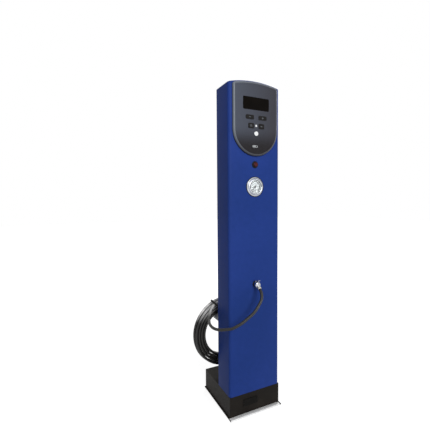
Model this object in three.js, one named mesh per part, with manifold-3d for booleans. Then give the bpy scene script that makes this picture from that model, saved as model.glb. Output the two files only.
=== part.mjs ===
// A floor-standing tyre inflator: a narrow cabinet on a plinth, with a digital control panel,
// an analogue gauge, a hose coiled on the back and a clip-on chuck parked on the front.
// Millimetres, +Z up, -Y towards the user. The origin is the middle of the foot plate, on the floor.
import * as THREE from 'three';
import { mergeVertices } from 'three/addons/utils/BufferGeometryUtils.js';
import Module from 'manifold-3d';

const wasm = await Module();
wasm.setup();

// ---- driving sizes ----
const gap = 0.3; // between pieces that touch

const columnWidth = 250;
const columnDepth = 108;
const shoulderZ = 1400; // height of the column's upper corners above the floor
const crownRise = 16; // how far the arched lid rises above them
const cornerRadius = 12;
const sheet = 2; // cabinet sheet thickness
const lipWidth = 20; // inward folds at the column's open back

const plinthDepth = 252;
const plinthHeight = 88;
const footThickness = 4;
const footFrontLedge = 15;
const footRearLedge = 5;
const footSideLedge = 4.5;
const stripDepth = 11;
const stripThickness = 2;
const blankWidth = 74;
const blankHeight = 30;
const blankOffsetX = -25;

const coverTopZ = 517;
const doorTopInset = 16; // below the column's shoulder
const doorKnuckleInset = 9; // hinge axis, in from the column's right side
const knuckleRadius = 3.5;
const hingePinRadius = 1.7;
const hingeLength = 60;
const hingeLowInset = 93; // lowest hinge above the cover
const hingeHighInset = 54; // highest hinge below the door's top
const hingeCount = 3;
const lockInset = 31; // in from the column's left side
const lockRadius = 8;
const camReach = 25;
const camWidth = 12;
const camThickness = 3;

const panelSideInset = 17;
const panelDrop = 184; // from the column's shoulder down to the centre of the panel's lower half circle
const panelTopInset = 5;
const panelProud = 11;
const panelWall = 2.5;
const panelBevel = 7;
const panelBossRadius = 4;
const boardThickness = 1.6;
const boardInset = 28;
const windowWidth = 127;
const windowHeight = 52;
const windowRise = 106; // centre of the window above the panel's lower centre
const keyProud = 1.5;
const keyTravel = 1;
const upperKeyWidth = 40;
const upperKeyHeight = 18;
const upperKeyX = 31;
const upperKeyRise = 50;
const lowerKeyWidth = 28;
const lowerKeyHeight = 22;
const lowerKeyX = 25;
const lowerKeyRise = 15;
const startKeyDiameter = 19;
const startKeyRise = -16;
const lampDiameter = 10;
const lampRise = 16;
const statusWidth = 27;
const statusHeight = 10;
const statusX = -6;
const statusInset = 39; // above the panel's lower end

const switchDrop = 327; // below the column's shoulder
const switchBezelDiameter = 29;
const switchBarrelDiameter = 22;
const switchButtonDiameter = 18;
const switchBezelProud = 5;
const switchButtonProud = 4; // above the bezel
const switchTravel = 3;

const gaugeDrop = 420;
const gaugeFlangeDiameter = 85;
const gaugeCaseDiameter = 63;
const gaugeDialDiameter = 57; // what the ring leaves in view
const gaugeProud = 9.5;
const gaugeCaseDepth = 26; // behind the column's front face
const pointerRestAngle = 135; // from straight up, to the scale's zero at the lower left

const plateSetback = 53; // front face of the inner mounting plate, in from the column's back
const plateTopDrop = 60;
const plateHeight = 640;
const manifoldDrop = 90; // below the gauge
const manifoldLength = 120;
const manifoldSide = 30;
const manifoldHeight = 40;
const valveSpacing = 40;
const solenoidSide = 26;
const solenoidHeight = 30;
const plungerRadius = 4;
const plungerTravel = 1.5;
const supplyDrop = 220;
const supplyWidth = 99;
const supplyHeight = 100;
const airTubeDiameter = 8;
const gaugeTubeDiameter = 6;
const mainsCableDiameter = 7;

const outletInset = 37;
const outletZ = 405;
const inletX = 45;
const glandInset = 40;
const serviceZ = 130; // height of the air inlet and the mains gland

const hoseDiameter = 12;
const hoseStep = 2 * hoseDiameter;
const coilX = -52;
const coilZ = 301;
const coilY = 60; // middle of the two layers
const coilRadius = 159; // outermost turn, to the middle of the hose
const coilPitch = 12.8; // from turn to turn
const layerPitch = 13.3;
const coilStartAngle = 60; // degrees, where the stretch from the chuck joins, seen from the front
const coilTurns = 7 + 11 / 12; // ends at 90 degrees
const coilSpread = 0.16; // how far the first and last turns hang apart at the bottom, as a factor
const hangerRise = 60; // middle of its plate above the coil's centre
const hangerPlateThickness = 4;
const fingerRadius = 4.5;

const chuckZ = 565;
const chuckBodyRadius = 12.5;
const chuckBodyEnd = 27;
const chuckElbow = 23; // from the column's front to the elbow's centre
const chuckFerruleEnd = 20; // along the slanted outlet
const pegRadius = 4.1;
const pegLength = 13.5;
const leverWidth = 9;
const leverPivotOut = 13; // from the column's front
const leverPivotUp = 15.4; // above the chuck's axis

// ---- places worked out from them ----
const plinthWidth = columnWidth;
const footWidth = plinthWidth + 2 * footSideLedge;
const footDepth = plinthDepth + footFrontLedge + footRearLedge;
const frontY = -footDepth / 2 + footFrontLedge;
const backY = frontY + columnDepth;
const plinthBottomZ = footThickness + gap;
const plinthTopZ = plinthBottomZ + plinthHeight;
const columnBottomZ = plinthTopZ + gap;
const halfColumn = columnWidth / 2;
const archRadius = (halfColumn ** 2 + crownRise ** 2) / (2 * crownRise);
const archCentreZ = shoulderZ + crownRise - archRadius;
const panelCentreZ = shoulderZ - panelDrop;
const panelHalfWidth = halfColumn - panelSideInset;
const boardHalfWidth = panelHalfWidth - boardInset;
const statusRise = statusInset - panelHalfWidth;
const switchZ = shoulderZ - switchDrop;
const gaugeZ = shoulderZ - gaugeDrop;
const coverInnerY = backY + gap;
const coverOuterY = coverInnerY + sheet;
const doorTopZ = shoulderZ - doorTopInset;
const doorKnuckleX = halfColumn - doorKnuckleInset;
const hingeFirstZ = coverTopZ + hingeLowInset;
const hingePitch = (doorTopZ - hingeHighInset - hingeLength - hingeFirstZ) / (hingeCount - 1);
const lockX = lockInset - halfColumn;
const lockZ = (coverTopZ + doorTopZ) / 2;
const plateY = backY - plateSetback;
const plateBackY = plateY + sheet;
const plateTopZ = shoulderZ - plateTopDrop;
const plateBottomZ = plateTopZ - plateHeight;
const manifoldBottomZ = gaugeZ - manifoldDrop;
const supplyBottomZ = shoulderZ - supplyDrop;
const outletX = halfColumn - outletInset;
const glandX = halfColumn - glandInset;
const hangerZ = coilZ + hangerRise;
const manifoldTopZ = manifoldBottomZ + manifoldHeight;
const manifoldY = plateBackY + gap + manifoldSide / 2;
const hoseRadius = hoseDiameter / 2;

// ---- small helpers ----
// merged corners, no empty faces, and the faces pointing out
function outward(geometry) {
  const bare = geometry.clone();
  bare.deleteAttribute('normal');
  bare.deleteAttribute('uv');
  const merged = mergeVertices(bare, 1e-4);
  const points = merged.attributes.position;
  const corners = [new THREE.Vector3(), new THREE.Vector3(), new THREE.Vector3()];
  const kept = [];
  let volume = 0;
  for (let i = 0; i < merged.index.count; i += 3) {
    const face = [0, 1, 2].map((k) => merged.index.getX(i + k));
    if (face[0] === face[1] || face[1] === face[2] || face[2] === face[0]) continue;
    face.forEach((index, k) => corners[k].fromBufferAttribute(points, index));
    volume += corners[0].dot(corners[1].clone().cross(corners[2]));
    kept.push(...face);
  }
  if (volume < 0) kept.reverse();
  merged.setIndex(kept);
  return merged;
}

function solid(geometry) {
  const closed = outward(geometry);
  return new wasm.Manifold(new wasm.Mesh({
    numProp: 3,
    vertProperties: closed.attributes.position.array,
    triVerts: new Uint32Array(closed.index.array),
  }));
}

function geometryOf(manifold) {
  const mesh = manifold.getMesh();
  const geometry = new THREE.BufferGeometry();
  geometry.setAttribute('position', new THREE.BufferAttribute(Float32Array.from(mesh.vertProperties), 3));
  geometry.setIndex(Array.from(mesh.triVerts));
  return geometry;
}

function join(...geometries) {
  return geometryOf(geometries.map(solid).reduce((whole, piece) => whole.add(piece)));
}

function cut(geometry, ...tools) {
  return geometryOf(tools.map(solid).reduce((whole, tool) => whole.subtract(tool), solid(geometry)));
}

function common(first, second) {
  return geometryOf(solid(first).intersect(solid(second)));
}

function block(x0, x1, y0, y1, z0, z1) {
  const box = new THREE.BoxGeometry(x1 - x0, y1 - y0, z1 - z0);
  return box.translate((x0 + x1) / 2, (y0 + y1) / 2, (z0 + z1) / 2);
}

// a cylinder along Z from z0 to z1
function rod(radius, z0, z1, x = 0, y = 0, sides = 14) {
  const cylinder = new THREE.CylinderGeometry(radius, radius, z1 - z0, sides);
  return cylinder.rotateX(Math.PI / 2).translate(x, y, (z0 + z1) / 2);
}

// a turned piece about Z, from [radius, z] pairs that close on the axis or on themselves
function turned(profile, sides = 24) {
  const points = profile.map(([radius, z]) => new THREE.Vector2(radius, z));
  return new THREE.LatheGeometry(points, sides).rotateX(Math.PI / 2);
}

function ringProfile(outer, inner, z0, z1) {
  return [[inner, z0], [outer, z0], [outer, z1], [inner, z1], [inner, z0]];
}

function arc(centreX, centreY, radius, fromDegrees, toDegrees, steps) {
  const points = [];
  for (let i = 0; i <= steps; i += 1) {
    const angle = THREE.MathUtils.degToRad(fromDegrees + (toDegrees - fromDegrees) * i / steps);
    points.push(new THREE.Vector2(centreX + radius * Math.cos(angle), centreY + radius * Math.sin(angle)));
  }
  return points;
}

function extruded(points, z0, z1) {
  const shape = new THREE.Shape(points);
  const geometry = new THREE.ExtrudeGeometry(shape, { depth: z1 - z0, bevelEnabled: false });
  return geometry.translate(0, 0, z0);
}

// an outline given as [x, z], extruded from y0 to y1
function extrudedAlongY(points, y0, y1) {
  return extruded(points, -y1, -y0).rotateX(Math.PI / 2);
}

// an outline given as [y, z], extruded from x0 to x1
function extrudedAlongX(points, x0, x1) {
  return extruded(points, x0, x1).rotateX(Math.PI / 2).rotateZ(Math.PI / 2);
}

function roundedRectangle(width, height, radius, x = 0, y = 0) {
  const right = width / 2 - radius;
  const top = height / 2 - radius;
  const corners = [[right, top, 0], [-right, top, 90], [-right, -top, 180], [right, -top, 270]];
  return corners.flatMap(([cx, cy, turn]) => arc(x + cx, y + cy, radius, turn, turn + 90, 3));
}

function polygon(pairs) {
  return pairs.map(([x, y]) => new THREE.Vector2(x, y));
}

function tube(points, diameter, sides, stepLength) {
  const corners = points.map((point) => new THREE.Vector3(...point));
  const path = new THREE.CatmullRomCurve3(corners, false, 'centripetal');
  const section = arc(0, 0, diameter / 2, 0, 360, sides).slice(0, -1);
  const steps = Math.ceil(path.getLength() / stepLength);
  const shape = new THREE.Shape(section);
  return new THREE.ExtrudeGeometry(shape, { steps, extrudePath: path, bevelEnabled: false });
}

function finish(colour, roughness, metalness) {
  return new THREE.MeshStandardMaterial({ color: colour, roughness, metalness });
}

function add(parent, name, geometry, material, position = [0, 0, 0]) {
  const mesh = new THREE.Mesh(outward(geometry), material);
  mesh.name = name;
  mesh.position.set(...position);
  parent.add(mesh);
  return mesh;
}

const bluePaint = finish('#26408a', 0.35, 0.2);
const blackPaint = finish('#26272a', 0.5, 0.2);
const greyPlastic = finish('#5a5f6a', 0.3, 0);
const blackPlastic = finish('#17181a', 0.4, 0);
const darkGlass = finish('#120e0a', 0.08, 0);
const chrome = finish('#d9dade', 0.12, 1);
const steel = finish('#a9adb2', 0.35, 1);
const brass = finish('#b8964e', 0.35, 1);
const aluminium = finish('#b9bcc0', 0.4, 1);
const whitePlastic = finish('#f2f3f2', 0.35, 0);
const redPlastic = finish('#5c1517', 0.3, 0);
const hoseRubber = finish('#232426', 0.5, 0);
const boardGreen = finish('#1f5b3a', 0.6, 0);
const clearGlass = finish('#e8eef2', 0.05, 0);
const blueTube = finish('#2f6fc4', 0.4, 0);

// ---- foot, plinth and cabinet ----
function archHeight(x, inset) {
  return archCentreZ + Math.sqrt((archRadius - inset) ** 2 - x ** 2);
}

// a prism that holds everything above the arch, lowered by inset
function aboveArch(inset) {
  const reach = halfColumn + 10;
  const points = [new THREE.Vector2(-reach, shoulderZ + crownRise + 60)];
  for (let i = 0; i <= 16; i += 1) {
    const x = -reach + 2 * reach * i / 16;
    points.push(new THREE.Vector2(x, archHeight(x, inset)));
  }
  points.push(new THREE.Vector2(reach, shoulderZ + crownRise + 60));
  return extrudedAlongY(points, frontY - 20, backY + 20);
}

function footPlate() {
  return block(-footWidth / 2, footWidth / 2, -footDepth / 2, footDepth / 2, 0, footThickness);
}

function kickStrip() {
  const y0 = -footDepth / 2 + 1;
  const z0 = footThickness + gap;
  return block(-footWidth / 2 + 1, footWidth / 2 - 1, y0, y0 + stripDepth, z0, z0 + stripThickness);
}

const blankZ = plinthBottomZ + plinthHeight / 2 + 4;

function plinthBox() {
  const outer = block(-halfColumn, halfColumn, frontY, frontY + plinthDepth, plinthBottomZ, plinthTopZ);
  const inner = block(-halfColumn + sheet, halfColumn - sheet, frontY + sheet, frontY + plinthDepth - sheet,
    plinthBottomZ - 1, plinthTopZ - sheet);
  const hatchOutline = roundedRectangle(blankWidth - 10, blankHeight - 10, 3, blankOffsetX, blankZ);
  const hatch = extrudedAlongY(hatchOutline, frontY - 1, frontY + sheet + 1);
  const screwHoles = blankScrewXs().map((x) => alongY(2.3, frontY - 1, frontY + sheet + 1, x, blankZ));
  return cut(outer, inner, hatch, ...screwHoles);
}

function blankScrewXs() {
  const reach = blankWidth / 2 - 2.9;
  return [blankOffsetX - reach, blankOffsetX + reach];
}

// a cylinder along Y from y0 to y1, centred on (x, z)
function alongY(radius, y0, y1, x, z, sides = 14) {
  const cylinder = new THREE.CylinderGeometry(radius, radius, y1 - y0, sides);
  return cylinder.translate(x, (y0 + y1) / 2, z);
}

const blankThickness = 1.5;

function serviceBlank() {
  const y1 = frontY - gap;
  const plate = extrudedAlongY(
    roundedRectangle(blankWidth, blankHeight, 3, blankOffsetX, blankZ), y1 - blankThickness, y1);
  return cut(plate, ...blankScrewXs().map((x) => alongY(2.3, y1 - 5, y1 + 5, x, blankZ)));
}

function columnOutline(inset) {
  const side = halfColumn - inset;
  const radius = cornerRadius - inset;
  const cornerX = halfColumn - cornerRadius;
  const cornerY = frontY + cornerRadius;
  return {
    side,
    front: [
      ...arc(-cornerX, cornerY, radius, 180, 270, 5),
      ...arc(cornerX, cornerY, radius, 270, 360, 5),
    ],
  };
}

const panelScrewPlaces = [
  [-(panelHalfWidth - 18), 150], [panelHalfWidth - 18, 150],
  [-(panelHalfWidth - 18), 40], [panelHalfWidth - 18, 40],
  [-(panelHalfWidth - 60), -78], [panelHalfWidth - 60, -78],
];
const ribbonZ = panelCentreZ + 74;
const ribbonWidth = 20;

function columnShell() {
  const outer = columnOutline(0);
  const inner = columnOutline(sheet);
  const lipX = outer.side - lipWidth;
  const outline = [
    ...polygon([[-lipX, backY], [-outer.side, backY]]),
    ...outer.front,
    ...polygon([[outer.side, backY], [lipX, backY], [lipX, backY - sheet], [inner.side, backY - sheet]]),
    ...inner.front.reverse(),
    ...polygon([[-inner.side, backY - sheet], [-lipX, backY - sheet]]),
  ];
  const top = shoulderZ + crownRise;
  const header = block(-lipX - 1, lipX + 1, backY - sheet, backY, doorTopZ - 12, top);
  const sill = block(-lipX - 1, lipX + 1, backY - sheet, backY, coverTopZ - 15, coverTopZ + 20);
  const shell = join(extruded(outline, columnBottomZ, top), header, sill);
  const wall = [frontY - 1, frontY + sheet + 1];
  const holes = [
    alongY(gaugeCaseDiameter / 2 + gap, ...wall, 0, gaugeZ, 28),
    alongY(switchBarrelDiameter / 2 + gap, ...wall, 0, switchZ, 18),
    alongY(3.3, ...wall, 0, chuckZ, 10),
    block(-ribbonWidth / 2 - 3, ribbonWidth / 2 + 3, ...wall, ribbonZ - 5, ribbonZ + 5),
    ...panelScrewPlaces.map(([x, rise]) => alongY(2.3, ...wall, x, panelCentreZ + rise, 8)),
    ...coverScrewPlaces().map(([x, z]) => alongY(2.3, backY - sheet - 1, backY + 1, x, z, 8)),
  ];
  return cut(shell, aboveArch(sheet + gap), ...holes);
}

function topCap() {
  const points = [];
  const steps = 16;
  for (let i = 0; i <= steps; i += 1) {
    const x = -halfColumn - 2 + (columnWidth + 4) * i / steps;
    points.push(new THREE.Vector2(x, archHeight(x, 0)));
  }
  for (let i = steps; i >= 0; i -= 1) {
    const x = -halfColumn - 2 + (columnWidth + 4) * i / steps;
    points.push(new THREE.Vector2(x, archHeight(x, sheet)));
  }
  const band = extrudedAlongY(points, frontY - 1, backY);
  const outline = columnOutline(0);
  const footprint = [
    new THREE.Vector2(-outline.side, backY + 1), ...outline.front, new THREE.Vector2(outline.side, backY + 1),
  ];
  return common(band, extruded(footprint, shoulderZ - 20, shoulderZ + crownRise + 5));
}

function coverScrewPlaces() {
  const x = halfColumn - lipWidth / 2;
  const low = columnBottomZ + 27;
  const high = coverTopZ - 27;
  return [low, (low + high) / 2, high].flatMap((z) => [[-x, z], [x, z]]);
}

const hangerScrewPlaces = [-24, 20].flatMap(
  (rise) => [-24, 24].map((across) => [coilX + across, hangerZ + rise]));

function rearCover() {
  const side = halfColumn - 2;
  const plate = block(-side, side, coverInnerY, coverOuterY, columnBottomZ + 0.5, coverTopZ);
  const through = [coverInnerY - 1, coverOuterY + 1];
  return cut(
    plate,
    alongY(lockRadius + gap, ...through, outletX, outletZ),
    alongY(lockRadius + gap, ...through, inletX, serviceZ),
    alongY(lockRadius + gap, ...through, glandX, serviceZ),
    ...[...coverScrewPlaces(), ...hangerScrewPlaces].map(([x, z]) => alongY(2.3, ...through, x, z, 8)),
  );
}

const knuckleY = coverOuterY + knuckleRadius + 0.7;
const hingeStarts = Array.from({ length: hingeCount }, (_, i) => hingeFirstZ + i * hingePitch);
const knuckleBore = hingePinRadius + gap;

// one knuckle with the arm that joins it to its leaf, and its bore
function knuckle(armX0, armX1, z0, z1) {
  const arm = block(armX0, armX1, coverOuterY - 1, knuckleY - 1, z0, z1);
  const barrel = rod(knuckleRadius, z0, z1, doorKnuckleX, knuckleY, 10);
  return cut(join(arm, barrel), rod(knuckleBore, z0 - 1, z1 + 1, doorKnuckleX, knuckleY, 8));
}

function serviceDoor() {
  const plate = block(-halfColumn + 2, doorKnuckleX - 2, coverInnerY, coverOuterY, coverTopZ + 3, doorTopZ);
  const third = hingeLength / 3;
  const pieces = hingeStarts.map((z) => join(
    block(doorKnuckleX - 20, doorKnuckleX - knuckleRadius - 1, coverOuterY - 1, coverOuterY + 1.6,
      z, z + hingeLength),
    knuckle(doorKnuckleX - knuckleRadius - 2, doorKnuckleX, z + third + gap, z + 2 * third - gap),
  ));
  const whole = join(plate, ...pieces);
  const bores = hingeStarts.map((z) => rod(knuckleBore, z, z + hingeLength, doorKnuckleX, knuckleY, 8));
  return cut(whole, alongY(lockRadius + gap, coverInnerY - 1, coverOuterY + 1, lockX, lockZ), ...bores);
}

// one strip up the column's right lip, with a pair of knuckles at each hinge
function hingeLeaf() {
  const third = hingeLength / 3;
  const leafX0 = doorKnuckleX + knuckleRadius + 0.6;
  const leafX1 = halfColumn - 0.5;
  const topZ = hingeStarts[hingeCount - 1] + hingeLength;
  return join(
    block(leafX0, leafX1, coverInnerY, coverOuterY, hingeFirstZ, topZ),
    ...hingeStarts.flatMap((z) => [
      knuckle(doorKnuckleX, leafX0 + 1, z, z + third - gap),
      knuckle(doorKnuckleX, leafX0 + 1, z + 2 * third + gap, z + hingeLength),
    ]),
  );
}

function hingeRod() {
  const topZ = hingeStarts[hingeCount - 1] + hingeLength;
  return join(
    rod(hingePinRadius, hingeFirstZ - 1.5, topZ + 1.5, doorKnuckleX, knuckleY, 10),
    rod(knuckleRadius - 0.6, hingeFirstZ - 2.4, hingeFirstZ - gap, doorKnuckleX, knuckleY, 10),
    rod(knuckleRadius - 0.6, topZ + gap, topZ + 2.4, doorKnuckleX, knuckleY, 10),
  );
}

const camY1 = backY - sheet - gap;
const camY0 = camY1 - camThickness;

function lockBarrel() {
  const body = join(
    alongY(lockRadius, camY1 + gap, coverOuterY + 2, lockX, lockZ),
    alongY(lockRadius + 3, coverOuterY + gap, coverOuterY + 2.8, lockX, lockZ),
  );
  return cut(body, alongY(5.3, camY0, coverOuterY + 10, lockX, lockZ));
}

function lockCam() {
  const arm = block(lockX - camWidth / 2, lockX + camWidth / 2, camY0, camY1, lockZ - camReach, lockZ + 7);
  const plug = alongY(5, camY0 + 1, coverOuterY + 2, lockX, lockZ);
  const key = block(lockX - 0.6, lockX + 0.6, coverOuterY + 0.5, coverOuterY + 3, lockZ - 3.5, lockZ + 3.5);
  return cut(join(arm, plug), key);
}

function mountingPlate() {
  const side = halfColumn - sheet - gap;
  const web = block(-side, side, plateY, plateBackY, plateBottomZ, plateTopZ);
  const folds = [-1, 1].map((s) => block(
    Math.min(s * side, s * (side - sheet)), Math.max(s * side, s * (side - sheet)),
    plateY, plateBackY + 18, plateBottomZ, plateTopZ));
  return cut(join(web, ...folds), alongY(9, plateY - 1, plateBackY + 1, 0, gaugeZ));
}

// ---- control panel: local x across, local y up from the lower centre, local z out of the column ----
function panelOutline(inset) {
  const side = panelHalfWidth - inset;
  const topRadius = archRadius - panelTopInset - inset;
  const topCentre = archCentreZ - panelCentreZ;
  const corner = Math.max(12 - inset, 2);
  // the rounded upper corner touches the straight side and the arched top
  const cx = side - corner;
  const cy = topCentre + Math.sqrt((topRadius - corner) ** 2 - cx ** 2);
  const lean = THREE.MathUtils.radToDeg(Math.atan2(cy - topCentre, cx));
  return [
    ...arc(0, 0, side, 180, 360, 20),
    ...arc(cx, cy, corner, 0, lean, 3),
    ...arc(0, topCentre, topRadius, lean, 180 - lean, 8).slice(1, -1),
    ...arc(-cx, cy, corner, 180 - lean, 180, 3),
  ];
}

const panelBack = gap;
const panelFront = panelProud;
const panelInner = panelFront - panelWall;
const boardFront = panelProud - 7.7;
const boardBack = boardFront - boardThickness;
const flangeFront = panelInner - gap;
const tactTop = boardFront + 1.3;

function bevelledPanel() {
  const rim = panelFront - panelBevel;
  const shape = new THREE.Shape(panelOutline(panelBevel));
  const bevelled = new THREE.ExtrudeGeometry(shape, {
    depth: 0.01, bevelThickness: panelBevel, bevelSize: panelBevel, bevelSegments: 2,
  });
  const front = bevelled.translate(0, 0, rim);
  const back = block(-columnWidth, columnWidth, -2 * columnWidth, 2 * columnWidth, -50, panelBack);
  return cut(front, back);
}

const keyPlaces = [
  ['key_minus', -upperKeyX, upperKeyRise, upperKeyWidth, upperKeyHeight],
  ['key_plus', upperKeyX, upperKeyRise, upperKeyWidth, upperKeyHeight],
  ['key_mode', -lowerKeyX, lowerKeyRise, lowerKeyWidth, lowerKeyHeight],
  ['key_unit', lowerKeyX, lowerKeyRise, lowerKeyWidth, lowerKeyHeight],
];

function panelBezel() {
  const hollow = extruded(panelOutline(panelBevel + panelWall), panelBack - 1, panelInner);
  const shell = cut(bevelledPanel(), hollow);
  const bosses = panelScrewPlaces.map(([x, y]) => rod(panelBossRadius, panelBack, panelInner + 0.5, x, y, 8));
  const posts = [[-70, 100], [70, 100], [-70, -20], [70, -20]].map(
    ([x, y]) => rod(3, boardFront + gap, panelInner + 0.5, x, y, 8));
  const cuts = [
    extruded(roundedRectangle(windowWidth, windowHeight, 5, 0, windowRise), panelInner - 1, panelFront + 1),
    ...keyPlaces.map(([, x, y, width, height]) => extruded(
      roundedRectangle(width, height, 5, x, y), panelInner - 1, panelFront + 1)),
    rod(startKeyDiameter / 2, panelInner - 1, panelFront + 1, 0, startKeyRise, 20),
    rod(lampDiameter / 2, panelInner - 1, panelFront + 1, 0, lampRise, 14),
    extruded(roundedRectangle(statusWidth, statusHeight, 4.5, statusX, statusRise),
      panelInner - 1, panelFront + 1),
    ...panelScrewPlaces.map(([x, y]) => rod(2.3, panelBack - 1, panelInner - 1, x, y, 6)),
  ];
  return cut(join(shell, ...bosses, ...posts), ...cuts);
}

// a plug that fills a cut-out from behind, with a flange that keeps it in
function plug(width, height, radius, front, back, stem) {
  const body = extruded(roundedRectangle(width - 2 * gap, height - 2 * gap, radius - gap), back, front);
  const flange = extruded(roundedRectangle(width + 2.4, height + 2.4, radius), back, flangeFront);
  const parts = [body, flange];
  if (stem) parts.push(rod(3, stem, back + 0.5, 0, 0, 8));
  return join(...parts);
}

function roundPlug(diameter, front, back, stem, dome) {
  const radius = diameter / 2 - gap;
  const profile = [[0, back], [radius + 1.5, back], [radius + 1.5, flangeFront], [radius, flangeFront],
    [radius, front - dome], [radius * 0.7, front - dome * 0.3], [0, front]];
  const body = turned(profile, 20);
  return stem ? join(body, rod(2.5, stem, back + 0.5, 0, 0, 8)) : body;
}

function controlBoard() {
  const lowEdge = -35;
  const tongue = 36;
  const tail = -81;
  const outline = polygon([
    [-boardHalfWidth, 150], [-boardHalfWidth, lowEdge], [-tongue, lowEdge], [-tongue, tail],
    [tongue, tail], [tongue, lowEdge], [boardHalfWidth, lowEdge], [boardHalfWidth, 150],
  ]);
  const sheetPiece = extruded(outline, boardBack, boardFront);
  const tacts = [...keyPlaces.map(([, x, y]) => [x, y]), [0, startKeyRise]].map(
    ([x, y]) => block(x - 3, x + 3, y - 3, y + 3, boardFront - 0.5, tactTop));
  return join(sheetPiece, ...tacts);
}

function ribbonCable() {
  const y0 = frontY - boardBack + gap;
  const y1 = plateY - gap;
  const steps = 8;
  const lower = [];
  const upper = [];
  for (let i = 0; i <= steps; i += 1) {
    const along = i / steps;
    const sag = 3.5 * Math.sin(Math.PI * along) ** 2;
    lower.push([y0 + (y1 - y0) * along, ribbonZ - sag - 0.5]);
    upper.unshift([y0 + (y1 - y0) * along, ribbonZ - sag + 0.5]);
  }
  return extrudedAlongX(polygon([...lower, ...upper]), -ribbonWidth / 2, ribbonWidth / 2);
}

// ---- panel switch and gauge: local z out of the column ----
const switchBarrelBack = -28;

function switchBezel() {
  const barrel = switchBarrelDiameter / 2;
  const outer = switchBezelDiameter / 2;
  const bore = switchButtonDiameter / 2 + gap;
  return turned([
    [bore, switchBarrelBack], [barrel, switchBarrelBack], [barrel, gap], [outer, gap], [outer, gap + 2.5],
    [outer - 2, switchBezelProud], [bore + 0.6, switchBezelProud], [bore, switchBezelProud - 0.6],
    [bore, switchBarrelBack],
  ], 22);
}

function switchButton() {
  const radius = switchButtonDiameter / 2;
  const front = switchBezelProud + switchButtonProud;
  return turned([
    [0, -20], [4, -20], [4, -8], [radius, -8], [radius, front - 1.2], [radius - 1.2, front], [0, front + 0.6],
  ], 22);
}

function switchBlock() {
  const front = switchBarrelBack - gap;
  const body = block(-15, 15, -15, 15, front - 18, front);
  const pins = [-8, 8].map((x) => block(x - 2.4, x + 2.4, -0.5, 0.5, front - 24, front - 17));
  const inside = rod(switchButtonDiameter / 2 - 0.5, front - 1, -20 - switchTravel - 1, 0, 0, 16);
  return join(body, ...pins, inside);
}

function switchNut() {
  const hexagon = arc(0, 0, 16, 0, 360, 6).slice(0, -1);
  const nut = extruded(hexagon, -sheet - gap - 4, -sheet - gap);
  return cut(nut, rod(switchBarrelDiameter / 2 + gap, -20, 5, 0, 0, 18));
}

const caseRadius = gaugeCaseDiameter / 2;
const caseRim = 5.9;
const lensBack = caseRim + gap;
const lensFront = lensBack + 1.5;
const dialFront = 1;

function gaugeFlange() {
  const outer = gaugeFlangeDiameter / 2;
  const inner = gaugeDialDiameter / 2;
  const bore = caseRadius + gap;
  return turned([
    [bore, gap], [outer, gap], [outer, gap + 2.2], [outer - 4.5, gap + 3.7], [bore + 3, gaugeProud - 1.2],
    [bore, gaugeProud], [inner + 0.8, gaugeProud], [inner, gaugeProud - 0.8], [inner, lensFront + gap],
    [bore, lensFront + gap], [bore, gap],
  ], 32);
}

function gaugeCase() {
  const inner = caseRadius - 1.3;
  const back = -gaugeCaseDepth;
  return turned([
    [6.3, back], [caseRadius, back], [caseRadius, caseRim], [inner, caseRim], [inner, back + 1.5],
    [6.3, back + 1.5], [6.3, back],
  ], 28);
}

function gaugeLens() {
  const rim = caseRadius - 0.1;
  return turned([[0, lensBack], [rim, lensBack], [rim, lensFront], [0, lensFront]], 28);
}

function gaugeDial() {
  return turned(ringProfile(caseRadius - 1.3 - gap, 2.5, 0, dialFront), 28);
}

function gaugePointer() {
  const blade = polygon([[-1.6, -7], [1.6, -7], [1.1, 14], [0.35, 22], [-0.35, 22], [-1.1, 14]]);
  return join(
    extruded(blade, dialFront + 1, dialFront + 1.8),
    rod(3.6, dialFront + 0.6, dialFront + 3.2, 0, 0, 12),
    rod(1.2, -9, dialFront + 1, 0, 0, 6),
  ).rotateZ(THREE.MathUtils.degToRad(pointerRestAngle));
}

const stemEnd = -42;
const strapFront = -gaugeCaseDepth - gap;
const strapThickness = 3;

function gaugeMovement() {
  const tubeRadius = 2.4;
  const bourdon = [];
  for (let i = 0; i <= 12; i += 1) {
    const angle = THREE.MathUtils.degToRad(-90 + 250 * i / 12);
    bourdon.push([21 * Math.cos(angle), 21 * Math.sin(angle), -13]);
  }
  const whole = join(
    block(-12, 12, -9, 9, -19, -4),
    block(-4, 4, -23, -8, -16, -10),
    tube(bourdon, 2 * tubeRadius, 6, 9),
    rod(6, stemEnd, -18, 0, 0, 16),
    extruded(arc(0, 0, 9, 0, 360, 6).slice(0, -1), strapFront - strapThickness - gap - 6,
      strapFront - strapThickness - gap),
  );
  const spindleBore = rod(1.5, -9.5, 0, 0, 0, 12);
  const tubeSocket = rod(gaugeTubeDiameter / 2 + gap, stemEnd - 1, stemEnd + 6, 0, 0, 12);
  return cut(whole, spindleBore, tubeSocket);
}

function gaugeClamp() {
  const legFront = -sheet - gap;
  const strap = block(-38, 38, -8, 8, strapFront - strapThickness, strapFront);
  const legs = [-1, 1].map((s) => block(s * 36.5 - 1.5, s * 36.5 + 1.5, -8, 8, strapFront - 1, legFront));
  return cut(join(strap, ...legs), rod(6.3, strapFront - 5, strapFront + 1, 0, 0, 16));
}

// ---- air and electrics inside ----
function portCollar(x, z0, z1, tubeDiameter) {
  return rod(tubeDiameter / 2 + 3, z0, z1, x, manifoldY, 12);
}

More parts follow.
